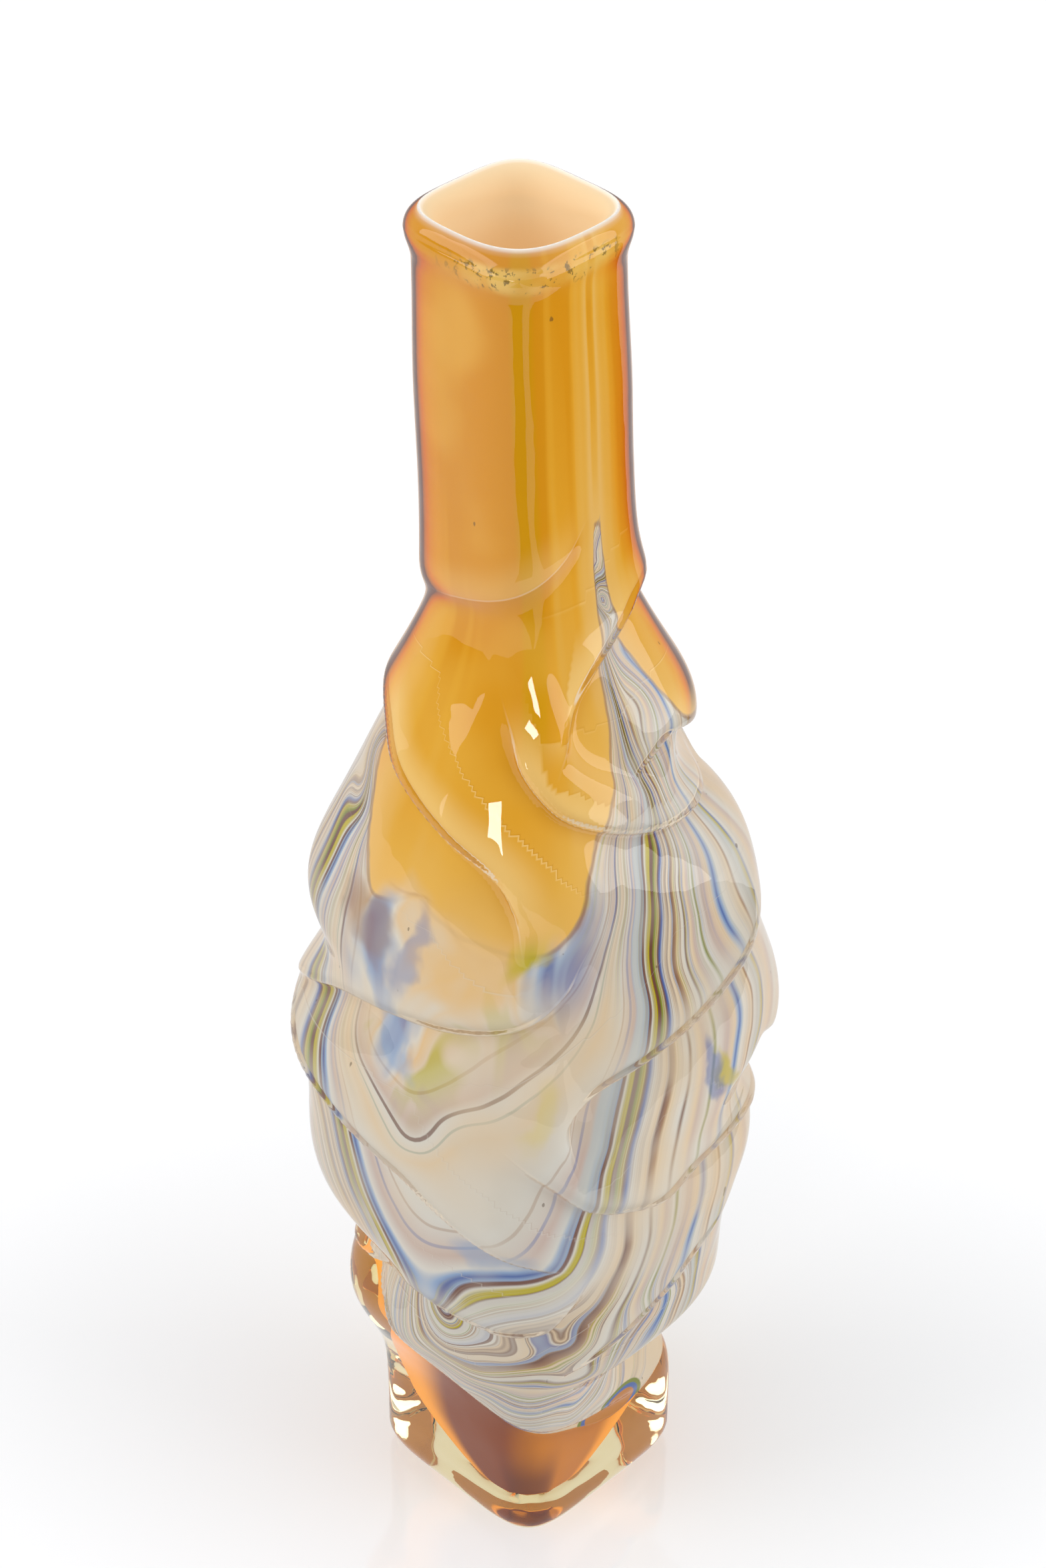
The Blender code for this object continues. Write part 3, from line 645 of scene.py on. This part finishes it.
def new_material(name):
    """A node material with nothing in it but an output."""
    material = bpy.data.materials.new(name)
    material.use_nodes = True
    material.node_tree.nodes.clear()
    output = material.node_tree.nodes.new("ShaderNodeOutputMaterial")
    return material, material.node_tree, output


def add(tree, kind, settings=None, **inputs):
    """Adds a node; an input is a value or the output that feeds it."""
    node = tree.nodes.new("ShaderNode" + kind)
    for name, value in (settings or {}).items():
        setattr(node, name, value)
    for name, value in inputs.items():
        socket = node.inputs[int(name[1:])] if name[0] == "i" and name[1:].isdigit() else node.inputs[name]
        if isinstance(value, bpy.types.NodeSocket):
            tree.links.new(value, socket)
        else:
            socket.default_value = value
    return node


def number(tree, name):
    """The number of that name that the mesh carries."""
    return add(tree, "Attribute", {"attribute_name": name}).outputs["Fac"]


def reckon(tree, how, first, second=0.0, third=0.0):
    """Arithmetic on one to three values."""
    return add(tree, "Math", {"operation": how}, i0=first, i1=second, i2=third).outputs[0]


def ramp(tree, value, stops, smooth="LINEAR"):
    """A colour for each value, from (place, colour) stops."""
    node = add(tree, "ValToRGB", i0=value)
    node.color_ramp.interpolation = smooth
    keys = node.color_ramp.elements
    while len(keys) < len(stops):
        keys.new(0.5)
    for key, (place, colour) in zip(keys, stops):
        key.position = place
        key.color = (*colour, 1) if isinstance(colour, tuple) else (colour, colour, colour, 1)
    return node.outputs[0]


def blend(tree, share, first, second, how="MIX"):
    """Mixes two colours; the share may be a value or an output."""
    node = add(tree, "Mix", {"data_type": "RGBA", "blend_type": how, "clamp_factor": True})
    for socket, value in zip((node.inputs[0], node.inputs[6], node.inputs[7]), (share, first, second)):
        if isinstance(value, bpy.types.NodeSocket):
            tree.links.new(value, socket)
        else:
            socket.default_value = (*value, 1) if isinstance(value, tuple) else value
    return node.outputs[2]


def fit(tree, value, low_in, high_in, low_out=0.0, high_out=1.0):
    """Maps a value from one range to another, smoothly and without going past its ends."""
    node = add(tree, "MapRange", {"interpolation_type": "SMOOTHSTEP"}, i0=value, i1=low_in, i2=high_in,
               i3=low_out, i4=high_out)
    return node.outputs[0]


# %% [markdown]
# ## The marbled opal
# Marbling is an old trade pattern, and no two pieces have the same lines, so the bands here are
# the script's own, in the same colours and scale as the real glass. A first ramp lays the broad
# colours along the stream's number, two noises of one dimension draw the threads, and a noise in
# space bends them a little, as hot glass does.

# %% Opal colours, amber, heart and mouth
opal, tree, output = new_material("opal_colours")
place = add(tree, "TexCoord").outputs["Object"]
drift = add(tree, "TexNoise", Vector=place, Scale=34.0, Detail=2.0).outputs["Fac"]
wander = add(tree, "TexNoise", Vector=place, Scale=11.0, Detail=2.0).outputs["Fac"]
crowd = number(tree, "crowd")
turn = number(tree, "turn")
rise = add(tree, "SeparateXYZ", Vector=place).outputs["Z"]
bent = reckon(tree, "MULTIPLY_ADD", drift, 0.040, -0.020)
bent = reckon(tree, "MULTIPLY_ADD", wander, 0.050, reckon(tree, "SUBTRACT", bent, 0.025))
bent = reckon(tree, "MULTIPLY", bent, fit(tree, crowd, 0.05, 0.60, 0.12, 1.0))
sway = add(tree, "TexNoise", Vector=place, Scale=30.0, Detail=1.0).outputs["Fac"]
sway = reckon(tree, "MULTIPLY", reckon(tree, "SUBTRACT", sway, 0.5), fit(tree, rise, 0.085, 0.125, 0.30, 0.0))
lane = reckon(tree, "ADD", reckon(tree, "ADD", number(tree, "stream"), bent), sway)


def lane_ramp(start, end, lines):
    """Colours laid along the streams between two of their numbers."""
    along = add(tree, "MapRange", i0=lane, i1=start, i2=end).outputs[0]
    return ramp(tree, along, [((s - start) / (end - start), colour) for s, colour in lines])


near = lane_ramp(0.28, 0.64, [
    (0.28, SAND), (0.292, SAND), (0.298, RUST), (0.304, SAND), (0.315, MILK), (0.345, CREAM), (0.352, LILAC),
    (0.358, MILK), (0.393, LILAC), (0.402, MILK), (0.425, CREAM),
    (0.452, MILK), (0.478, LILAC), (0.496, MILK), (0.502, SKY), (0.509, SLATE),
    (0.516, SKY), (0.519, BROWN), (0.524, BROWN), (0.528, MILK), (0.535, CITRON), (0.543, CITRON), (0.547, BROWN),
    (0.555, BROWN), (0.560, OLIVE), (0.572, CITRON), (0.578, BROWN), (0.588, SLATE), (0.600, MILK),
    (0.64, CREAM)])
far = lane_ramp(0.64, 1.06, [
    (0.64, CREAM), (0.648, BROWN), (0.660, UMBER), (0.668, CREAM), (0.700, MILK), (0.707, BROWN),
    (0.714, MILK), (0.735, CREAM), (0.745, LILAC), (0.765, MILK), (0.772, OLIVE), (0.778, MILK), (0.805, LILAC),
    (0.828, CREAM), (0.839, SKY), (0.845, SLATE), (0.851, SKY), (0.861, MILK), (0.900, CREAM), (0.906, UMBER),
    (0.914, MILK), (0.945, ICE), (0.958, CITRON), (0.964, SLATE), (0.972, MILK), (1.00, CREAM), (1.02, LILAC),
    (1.03, MILK), (1.06, CREAM)])
marbled = blend(tree, fit(tree, lane, 0.638, 0.642), near, far)
fading = add(tree, "TexNoise", Vector=place, Scale=27.0, Detail=2.0).outputs["Fac"]
marbled = blend(tree, fit(tree, fading, 0.48, 0.62, 0.0, 0.40), marbled, PALE)
hip = reckon(tree, "MULTIPLY", fit(tree, lane, 0.5445, 0.550), fit(tree, lane, 0.588, 0.600, 1.0, 0.0))
hip = reckon(tree, "MULTIPLY", hip, fit(tree, turn, 12.0, 26.0, 0.85, 0.0))
hip = reckon(tree, "MULTIPLY", hip, fit(tree, turn, -62.0, -48.0))
marbled = blend(tree, hip, marbled, MILK)


def thin_line(under, where, half, colour, strength):
    """A line along one stream, as wide on the slack belly as in the tight bundle; half is in millimetres."""
    apart = reckon(tree, "ABSOLUTE", reckon(tree, "SUBTRACT", lane, where))
    width = reckon(tree, "MULTIPLY_ADD", crowd, 0.030 * half, 0.0001)
    mask = fit(tree, reckon(tree, "DIVIDE", apart, width), 0.5, 1.0, strength, 0.0)
    return blend(tree, mask, under, colour)


marbled = thin_line(marbled, 0.372, 0.35, UMBER, 0.45)
marbled = thin_line(marbled, 0.402, 0.42, BROWN, 0.80)
marbled = thin_line(marbled, 0.414, 0.25, SAGE, 0.5)
marbled = thin_line(marbled, 0.457, 0.25, UMBER, 0.40)
marbled = thin_line(marbled, 0.470, 0.40, SLATE, 0.45)
bundle = reckon(tree, "MULTIPLY", fit(tree, lane, 0.480, 0.488), fit(tree, lane, 0.512, 0.516, 1.0, 0.0))
bundle = reckon(tree, "MULTIPLY", bundle, fit(tree, turn, 0.0, 18.0, 0.0, 0.85))
marbled = blend(tree, bundle, marbled, ICE)

thread = add(tree, "TexNoise", {"noise_dimensions": "1D"}, W=reckon(tree, "MULTIPLY", lane, 48.0),
             Scale=1.0, Detail=2.0, Roughness=0.6).outputs["Fac"]
tint = add(tree, "TexNoise", {"noise_dimensions": "1D"}, W=reckon(tree, "MULTIPLY_ADD", lane, 44.0, 5.0),
           Scale=1.0, Detail=1.0).outputs["Fac"]
threads = ramp(tree, tint, [
    (0.22, SKY), (0.32, SLATE), (0.38, MILK), (0.43, BROWN), (0.48, CREAM), (0.52, BROWN), (0.57, MILK),
    (0.62, OLIVE), (0.68, CITRON), (0.76, BROWN)])
packed_in = reckon(tree, "MAXIMUM", fit(tree, crowd, 0.15, 0.6, 0.0, 0.85), fit(tree, rise, 0.10, 0.13, 0.75, 0.0))
packed_in = reckon(tree, "MULTIPLY", packed_in, fit(tree, turn, 48.0, 75.0, 1.0, 0.35))
strength = reckon(tree, "MULTIPLY", fit(tree, thread, 0.49, 0.53), packed_in)
strength = reckon(tree, "MULTIPLY", strength, fit(tree, lane, 0.29, 0.34))
marbled = blend(tree, strength, marbled, threads)

hanging = add(tree, "Mapping", Vector=place)
hanging.inputs["Scale"].default_value = (1.0, 1.0, 0.5)
smudge = add(tree, "TexNoise", Vector=hanging.outputs[0], Scale=40.0, Detail=2.0, Distortion=0.8).outputs["Fac"]
smudges = ramp(tree, smudge, [
    (0.32, SLATE), (0.38, SKY), (0.43, MILK), (0.48, SAND), (0.56, CREAM), (0.60, CITRON), (0.65, CITRON),
    (0.70, UMBER)])
loose = reckon(tree, "MULTIPLY", fit(tree, crowd, 0.20, 0.45, 1.0, 0.0), fit(tree, lane, 0.34, 0.41, 1.0, 0.0))
marbled = blend(tree, reckon(tree, "MULTIPLY", loose, 0.85), marbled, smudges)
milk = add(tree, "TexNoise", Vector=place, Scale=22.0, Detail=3.0).outputs["Fac"]
bright = reckon(tree, "MULTIPLY", fit(tree, lane, 0.46, 0.49), fit(tree, lane, 0.60, 0.64, 1.0, 0.0))
bright = reckon(tree, "SUBTRACT", 1.0, bright)
marbled = blend(tree, reckon(tree, "MULTIPLY", bright, fit(tree, milk, 0.50, 0.72, 0.0, 0.30)), marbled, MILK)
warm = add(tree, "TexNoise", Vector=place, Scale=16.0, Detail=2.0).outputs["Fac"]
marbled = blend(tree, reckon(tree, "MULTIPLY", bright, fit(tree, warm, 0.46, 0.62, 0.0, 0.55)), marbled, CREAM)


tear = add(tree, "TexNoise", Vector=place, Scale=55.0, Detail=3.0).outputs["Color"]
tear = add(tree, "VectorMath", {"operation": "SUBTRACT"}, i0=tear, i1=(0.5, 0.5, 0.5)).outputs[0]
torn_place = add(tree, "VectorMath", {"operation": "MULTIPLY_ADD"}, i0=tear, i1=(0.018, 0.018, 0.018),
                 i2=place).outputs[0]


def dab(under, centre, size, tilt, colour, strength):
    """A ragged spot of colour at a point, with its size in metres and its turn about the Y axis in degrees."""
    spot = add(tree, "Mapping", {"vector_type": "TEXTURE"}, Vector=torn_place)
    spot.inputs["Location"].default_value = centre
    spot.inputs["Rotation"].default_value = (0.0, math.radians(tilt), 0.0)
    spot.inputs["Scale"].default_value = size
    away = add(tree, "VectorMath", {"operation": "LENGTH"}, i0=spot.outputs[0]).outputs["Value"]
    rough = reckon(tree, "MULTIPLY_ADD", smudge, 1.6, reckon(tree, "SUBTRACT", away, 0.8))
    return blend(tree, fit(tree, rough, 0.45, 1.05, strength, 0.0), under, colour)


marbled = dab(marbled, (0.004, -0.058, 0.252), (0.0050, 0.03, 0.020), 40, CITRON, 0.95)
marbled = dab(marbled, (-0.029, -0.046, 0.242), (0.0040, 0.03, 0.018), 12, SLATE, 0.45)
marbled = dab(marbled, (-0.039, -0.040, 0.236), (0.0030, 0.03, 0.016), -8, SKY, 0.45)
marbled = dab(marbled, (-0.014, -0.056, 0.240), (0.017, 0.03, 0.017), -10, (0.76, 0.49, 0.21), 0.80)
marbled = dab(marbled, (-0.044, -0.040, 0.246), (0.007, 0.03, 0.012), -20, (0.30, 0.16, 0.09), 0.55)
marbled = dab(marbled, (0.004, -0.064, 0.198), (0.008, 0.03, 0.022), 14, (0.70, 0.56, 0.22), 0.75)
marbled = dab(marbled, (-0.036, -0.046, 0.205), (0.006, 0.03, 0.014), -30, SKY, 0.6)
marbled = dab(marbled, (-0.006, -0.057, 0.136), (0.016, 0.03, 0.007), 4, SKY, 0.55)
marbled = dab(marbled, (0.059, -0.036, 0.180), (0.0026, 0.03, 0.016), -14, CITRON, 0.8)
marbled = dab(marbled, (0.055, -0.038, 0.186), (0.0026, 0.03, 0.018), -10, SLATE, 0.6)
inside = number(tree, "amber")
fray = add(tree, "TexNoise", Vector=place, Scale=48.0, Detail=3.0).outputs["Fac"]
edge = reckon(tree, "MULTIPLY_ADD", fray, 0.6, reckon(tree, "SUBTRACT", inside, 0.3))
amber = ramp(tree, reckon(tree, "MULTIPLY", inside, 0.066), [
    (0.00, (0.80, 0.48, 0.14)), (0.10, (0.78, 0.42, 0.07)), (0.26, (0.76, 0.36, 0.025)),
    (0.50, (0.69, 0.285, 0.008)), (1.00, (0.68, 0.27, 0.006))])
stripe = reckon(tree, "MULTIPLY", fit(tree, number(tree, "turn"), -7.0, -3.0),
                fit(tree, number(tree, "turn"), 4.0, 9.0, 1.0, 0.0))
amber = blend(tree, reckon(tree, "MULTIPLY", stripe, fit(tree, inside, 4.0, 6.5, 0.0, 0.45)), amber,
              (0.62, 0.34, 0.0))
cloud = add(tree, "TexNoise", Vector=place, Scale=19.0, Detail=2.0).outputs["Fac"]
amber = blend(tree, fit(tree, cloud, 0.48, 0.66, 0.0, 0.45), amber, (0.84, 0.47, 0.075))
# Painted light and shade along the folds: the roll just above each fold's line is painted lighter, a painted
# highlight, and the hollow just under it is painted darker, a painted shade, on the amber and on the marbling
# alike.
off = number(tree, "fold_off")
strong = reckon(tree, "MULTIPLY", number(tree, "fold_strong"), fit(tree, rise, 0.322, 0.342, 1.0, 0.45))
painted_roll_highlight = reckon(tree, "MULTIPLY", fit(tree, off, 0.0, 1.2), fit(tree, off, 2.0, 13.0, 1.0, 0.0))
painted_roll_highlight = reckon(tree, "MULTIPLY", painted_roll_highlight, strong)
hollow = reckon(tree, "MULTIPLY", fit(tree, off, -8.0, -0.5), fit(tree, off, -0.4, 0.2, 1.0, 0.0))
hollow = reckon(tree, "MULTIPLY", hollow, strong)
amber = blend(tree, reckon(tree, "MULTIPLY", painted_roll_highlight, 0.75), amber, (0.90, 0.60, 0.22))
amber = blend(tree, reckon(tree, "MULTIPLY", hollow, 0.40), amber, (0.52, 0.20, 0.004))
marbled = blend(tree, reckon(tree, "MULTIPLY", painted_roll_highlight, 0.40), marbled, MILK)
marbled = blend(tree, reckon(tree, "MULTIPLY", hollow, 0.25), marbled, UMBER)
torn = reckon(tree, "MULTIPLY", fit(tree, turn, -58.0, -44.0), fit(tree, turn, -2.0, 10.0, 1.0, 0.0))
soft = fit(tree, reckon(tree, "MULTIPLY_ADD", smudge, 2.4, reckon(tree, "SUBTRACT", edge, 1.2)), -0.5, 0.6)
crisp = fit(tree, edge, -0.03, 0.12)
coloured = blend(tree, blend(tree, torn, crisp, soft), marbled, amber)
rim_line = reckon(tree, "MULTIPLY", fit(tree, edge, -0.10, -0.02), fit(tree, edge, 0.02, 0.12, 1.0, 0.0))
coloured = blend(tree, reckon(tree, "MULTIPLY", rim_line, fit(tree, torn, 0.0, 1.0, 0.6, 0.1)), coloured, UMBER)
fleck = add(tree, "TexNoise", Vector=hanging.outputs[0], Scale=230.0, Detail=2.0).outputs["Fac"]
coloured = blend(tree, fit(tree, fleck, 0.755, 0.77, 0.0, 0.6), coloured, (0.10, 0.05, 0.02))
# A thin pale line just above each fold's line is a painted highlight, and a thin dark line just under it is painted
# shade in the crease.
at_line = reckon(tree, "MULTIPLY", strong, fit(tree, number(tree, "fold_near"), 1.2, 2.2, 1.0, 0.0))
crease_highlight_and_shade = reckon(tree, "MULTIPLY", fit(tree, off, 0.0, 0.25), fit(tree, off, 0.45, 0.8, 1.0, 0.0))
coloured = blend(tree, reckon(tree, "MULTIPLY", reckon(tree, "MULTIPLY", crease_highlight_and_shade, at_line), 0.75), coloured,
                 (0.85, 0.74, 0.60))
crease_highlight_and_shade = reckon(tree, "MULTIPLY", fit(tree, off, -0.6, -0.3), fit(tree, off, -0.15, 0.0, 1.0, 0.0))
coloured = blend(tree, reckon(tree, "MULTIPLY", reckon(tree, "MULTIPLY", crease_highlight_and_shade, at_line), 0.25), coloured, UMBER)

speck = add(tree, "TexNoise", Vector=place, Scale=420.0, Detail=4.0, Roughness=0.7).outputs["Fac"]
patch = add(tree, "TexNoise", Vector=place, Scale=75.0, Detail=2.0).outputs["Fac"]
# A patchy gold band a little under the rim, on the front half only and with dark specks in it, is a painted
# highlight on the lip's rounding.
painted_rim_highlight = reckon(tree, "MULTIPLY", fit(tree, rise, TOP - 0.0125, TOP - 0.0085), fit(tree, rise, TOP - 0.0055, TOP - 0.004, 1.0, 0.0))
painted_rim_highlight = reckon(tree, "MULTIPLY", painted_rim_highlight, fit(tree, number(tree, "turn"), -75.0, -20.0))
painted_rim_highlight = reckon(tree, "MULTIPLY", painted_rim_highlight, fit(tree, number(tree, "turn"), 60.0, 85.0, 1.0, 0.0))
coloured = blend(tree, reckon(tree, "MULTIPLY", painted_rim_highlight, fit(tree, patch, 0.40, 0.62, 0.3, 1.0)), coloured,
                 (0.80, 0.50, 0.12))
coloured = blend(tree, reckon(tree, "MULTIPLY", painted_rim_highlight, fit(tree, speck, 0.55, 0.60, 0.0, 0.8)), coloured,
                 (0.16, 0.10, 0.03))

below = number(tree, "above_seam")
# The heart is painted with the light of thick amber glass: its left side darker, as painted shade, a dark strip
# down the lower front edge, painted shade where the bent glass darkens it, and bright orange on its two sides, a
# painted glow where light comes through thin glass.
side = number(tree, "heart_turn")
heart = blend(tree, fit(tree, side, -10.0, 5.0, 0.85, 0.0), (0.50, 0.17, 0.012), (0.15, 0.026, 0.014))
from_keel = reckon(tree, "ABSOLUTE", side)
keel_shade = reckon(tree, "MULTIPLY", fit(tree, from_keel, 4.0, 16.0, 0.75, 0.0), fit(tree, rise, 0.014, 0.032, 1.0, 0.0))
heart = blend(tree, keel_shade, heart, (0.10, 0.02, 0.012))
heart = blend(tree, fit(tree, from_keel, 54.0, 82.0, 0.0, 0.95), heart, (0.96, 0.38, 0.03))
heart = blend(tree, fit(tree, from_keel, 96.0, 112.0, 0.0, 0.85), heart, (0.38, 0.19, 0.035))
coloured = blend(tree, fit(tree, below, -0.02, 0.02), heart, coloured)
window = add(tree, "Mapping", {"vector_type": "TEXTURE"}, Vector=place)
window.inputs["Location"].default_value = (0.0265, -0.0225, 0.0350)
window.inputs["Scale"].default_value = (0.0085, 0.02, 0.0055)
eye = add(tree, "VectorMath", {"operation": "LENGTH"}, i0=window.outputs[0]).outputs["Value"]
eye = reckon(tree, "MULTIPLY_ADD", smudge, 0.8, reckon(tree, "SUBTRACT", eye, 0.4))
eye = reckon(tree, "MAXIMUM", eye, fit(tree, below, -0.1, 0.0, 2.0, 0.0))
coloured = blend(tree, fit(tree, eye, 1.35, 1.42, 1.0, 0.0), coloured, OLIVE)
coloured = blend(tree, fit(tree, eye, 1.18, 1.24, 1.0, 0.0), coloured, SLATE)
coloured = blend(tree, fit(tree, eye, 1.00, 1.06, 1.0, 0.0), coloured, (0.52, 0.19, 0.02))
coloured = blend(tree, number(tree, "mouth"), coloured, (0.76, 0.60, 0.38))
coloured = blend(tree, number(tree, "ring"), coloured, (0.92, 0.90, 0.86))
# The heart and the inside of the mouth glow a little, though no lamp is there: painted light.
painted_glow = blend(tree, fit(tree, below, -0.02, 0.02), heart, (0.0, 0.0, 0.0))
painted_glow = blend(tree, number(tree, "mouth"), painted_glow, (0.80, 0.52, 0.26))
shader = add(tree, "BsdfPrincipled", Roughness=0.4)
shader.inputs["Specular IOR Level"].default_value = 0.0
shader.inputs["Emission Strength"].default_value = 0.24
tree.links.new(painted_glow, shader.inputs["Emission Color"])
tree.links.new(coloured, shader.inputs["Base Color"])
tree.links.new(shader.outputs[0], output.inputs["Surface"])
core.data.materials.append(opal)

# %% [markdown]
# ## The clear glass
# Cycles bends rays at this surface. Lamps would otherwise have to find their way through bent
# glass, so rays that only carry light pass straight through, and the colour is lit evenly.

# %% Clear glass that lets lamps through
clear_glass, tree, output = new_material("clear_glass")
ripple = add(tree, "TexNoise", Vector=add(tree, "TexCoord").outputs["Object"], Scale=42.0, Detail=2.0)
bump = add(tree, "Bump", Strength=0.35, Distance=0.0015, Height=ripple.outputs["Fac"])
grazing = add(tree, "LayerWeight", Blend=0.5).outputs["Facing"]
amber_glass = ramp(tree, grazing, [
    (0.40, (1.0, 1.0, 1.0)), (0.50, (1.0, 0.66, 0.22)), (0.58, (0.85, 0.22, 0.01)), (0.67, (0.03, 0.004, 0.006)),
    (0.80, (0.02, 0.006, 0.012)), (0.92, (0.6, 0.4, 0.4)), (1.0, (1.0, 0.9, 0.8))])
turn = reckon(tree, "ABSOLUTE", number(tree, "turn"))
amber_glass = blend(tree, fit(tree, turn, 45.0, 65.0, 0.25, 1.0), (1.0, 1.0, 1.0), amber_glass)
plain_glass = ramp(tree, grazing, [
    (0.50, (1.0, 1.0, 1.0)), (0.80, (0.92, 0.76, 0.60)), (0.95, (0.62, 0.44, 0.32)), (1.0, (0.9, 0.8, 0.7))])
glass_tint = blend(tree, fit(tree, number(tree, "amber"), -0.5, 1.0), plain_glass, amber_glass)
shader = add(tree, "BsdfPrincipled", Roughness=0.0, IOR=1.5)
tree.links.new(glass_tint, shader.inputs["Base Color"])
shader.inputs["Transmission Weight"].default_value = 1.0
tree.links.new(bump.outputs[0], shader.inputs["Normal"])
path = add(tree, "LightPath")
straight = reckon(tree, "MAXIMUM", path.outputs["Is Shadow Ray"], path.outputs["Is Diffuse Ray"])
mix = add(tree, "MixShader", i0=straight, i1=shader.outputs[0], i2=add(tree, "BsdfTransparent").outputs[0])
tree.links.new(mix.outputs[0], output.inputs["Surface"])
depth = add(tree, "VolumeAbsorption", Density=22.0)
depth.inputs["Color"].default_value = (0.97, 0.90, 0.62, 1.0)
tree.links.new(depth.outputs[0], output.inputs["Volume"])
angle, radius, height = read_points(casing)
write_numbers(casing, "amber", amber_depth(angle, height) * 100)
write_numbers(casing, "turn", np.degrees(angle))
casing.data.materials.append(clear_glass)

# %% [markdown]
# ## Put the pieces on the imported vase
# Both pieces move with the vase's only body, and the casing stands for the imported solid, which
# stays underneath for collisions.

# %% Ride and replace
for piece in (core, casing):
    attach(piece, "root")
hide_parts("vase")

# %% [markdown]
# ## Floor, light and camera
# The vase stands on a glossy white table in a bright studio.

# %% Floor
bpy.ops.object.select_all(action="DESELECT")
bpy.ops.mesh.primitive_plane_add(size=12.0, location=(0, 0, -0.0006))
floor = bpy.context.object
floor.name = "studio_floor"
table, tree, output = new_material("white_table")
shader = add(tree, "BsdfPrincipled", Roughness=0.06)
shader.inputs["Specular IOR Level"].default_value = 1.0
shader.inputs["Base Color"].default_value = (0.87, 0.87, 0.88, 1.0)
# For the eye and for bent glass the table also glows; the glow is weaker next to the vase, so the table is painted
# darker round it: painted shade.
path = add(tree, "LightPath")
seen = reckon(tree, "MAXIMUM", path.outputs["Is Camera Ray"], path.outputs["Is Transmission Ray"])
spot = add(tree, "SeparateXYZ", Vector=add(tree, "TexCoord").outputs["Object"])
across, deep = spot.outputs["X"], spot.outputs["Y"]
reach = reckon(tree, "SQRT", reckon(tree, "ADD", reckon(tree, "MULTIPLY", across, across),
                                    reckon(tree, "MULTIPLY", deep, deep)))
lift = fit(tree, reach, 0.04, 0.40, 0.11, 0.31)
painted_glow = add(tree, "Emission", Strength=reckon(tree, "MULTIPLY", seen, lift))
both = add(tree, "AddShader", i0=shader.outputs[0], i1=painted_glow.outputs[0])
# In reflections the table shows only glowing cards, bright next to the vase, behind it and in two strips, dim
# elsewhere: painted reflections.
near_vase = reckon(tree, "LESS_THAN", reach, 0.475)
card_left = reckon(tree, "LESS_THAN", across, -0.22)
card_front = reckon(tree, "MULTIPLY", reckon(tree, "GREATER_THAN", across, 0.09),
                    reckon(tree, "LESS_THAN", across, 0.30))
behind = reckon(tree, "GREATER_THAN", deep, 0.30)
cards = reckon(tree, "MAXIMUM", reckon(tree, "MAXIMUM", near_vase, behind), reckon(tree, "MAXIMUM", card_left, card_front))
painted_reflection = add(tree, "Emission", Strength=reckon(tree, "MULTIPLY_ADD", cards, 0.85, 0.08))
mix = add(tree, "MixShader", i0=path.outputs["Is Glossy Ray"], i1=both.outputs[0], i2=painted_reflection.outputs[0])
tree.links.new(mix.outputs[0], output.inputs["Surface"])
floor.data.materials.append(table)

# %% [markdown]
# The world lights the vase softly. What the eye, a reflection or bent glass sees of it is nearly
# white, so the glass shows the pale studio at its edges.

# %% World
world = bpy.data.worlds.new("studio")
bpy.context.scene.world = world
world.use_nodes = True
tree = world.node_tree
tree.nodes.clear()
path = add(tree, "LightPath")
seen = reckon(tree, "MAXIMUM", path.outputs["Is Camera Ray"], path.outputs["Is Transmission Ray"])
light = add(tree, "Background", Strength=0.68)
light.inputs[0].default_value = (0.96, 0.98, 1.0, 1.0)
backdrop = add(tree, "Background", Strength=1.0)
backdrop.inputs[0].default_value = (0.96, 0.97, 1.0, 1.0)
mix = add(tree, "MixShader", i0=seen, i1=light.outputs[0], i2=backdrop.outputs[0])
sky = add(tree, "SeparateXYZ", Vector=add(tree, "TexCoord").outputs["Generated"])
bright = reckon(tree, "MAXIMUM", fit(tree, sky.outputs["Y"], -0.1, 0.25), fit(tree, sky.outputs["Z"], 0.50, 0.56))
mirrored = add(tree, "Background", Strength=reckon(tree, "MULTIPLY_ADD", bright, 0.9, 0.08))
mix = add(tree, "MixShader", i0=path.outputs["Is Glossy Ray"], i1=mix.outputs[0], i2=mirrored.outputs[0])
tree.links.new(mix.outputs[0], add(tree, "OutputWorld").inputs["Surface"])


# %% Softboxes
def softbox(name, place, aim, width, height, power):
    """An area lamp that looks at a point."""
    bpy.ops.object.light_add(type="AREA", location=place)
    lamp = bpy.context.object
    lamp.name = name
    lamp.data.shape = "RECTANGLE"
    lamp.data.size = width
    lamp.data.size_y = height
    lamp.data.energy = power
    towards = np.array(aim) - np.array(place)
    flat = math.hypot(towards[0], towards[1])
    lamp.rotation_euler = (math.atan2(flat, -towards[2]), 0, math.atan2(-towards[0], towards[1]))
    return lamp


softbox("softbox_left", (-1.5, -0.3, 1.2), (0, 0, 0.22), 1.1, 1.5, 12)
softbox("softbox_right", (1.5, -0.4, 0.9), (0, 0, 0.22), 1.1, 1.4, 11)
softbox("key_lamp", (-0.33, -1.03, 0.67), (0, 0, 0.28), 0.24, 0.075, 0.9)

# %% Camera
bpy.ops.object.camera_add(location=(0, -0.844, 0.899), rotation=(math.radians(53.1), 0, 0))
camera = bpy.context.object
camera.data.lens = 85
camera.data.sensor_width = 36
bpy.context.scene.camera = camera
bpy.context.scene.view_settings.view_transform = "Standard"
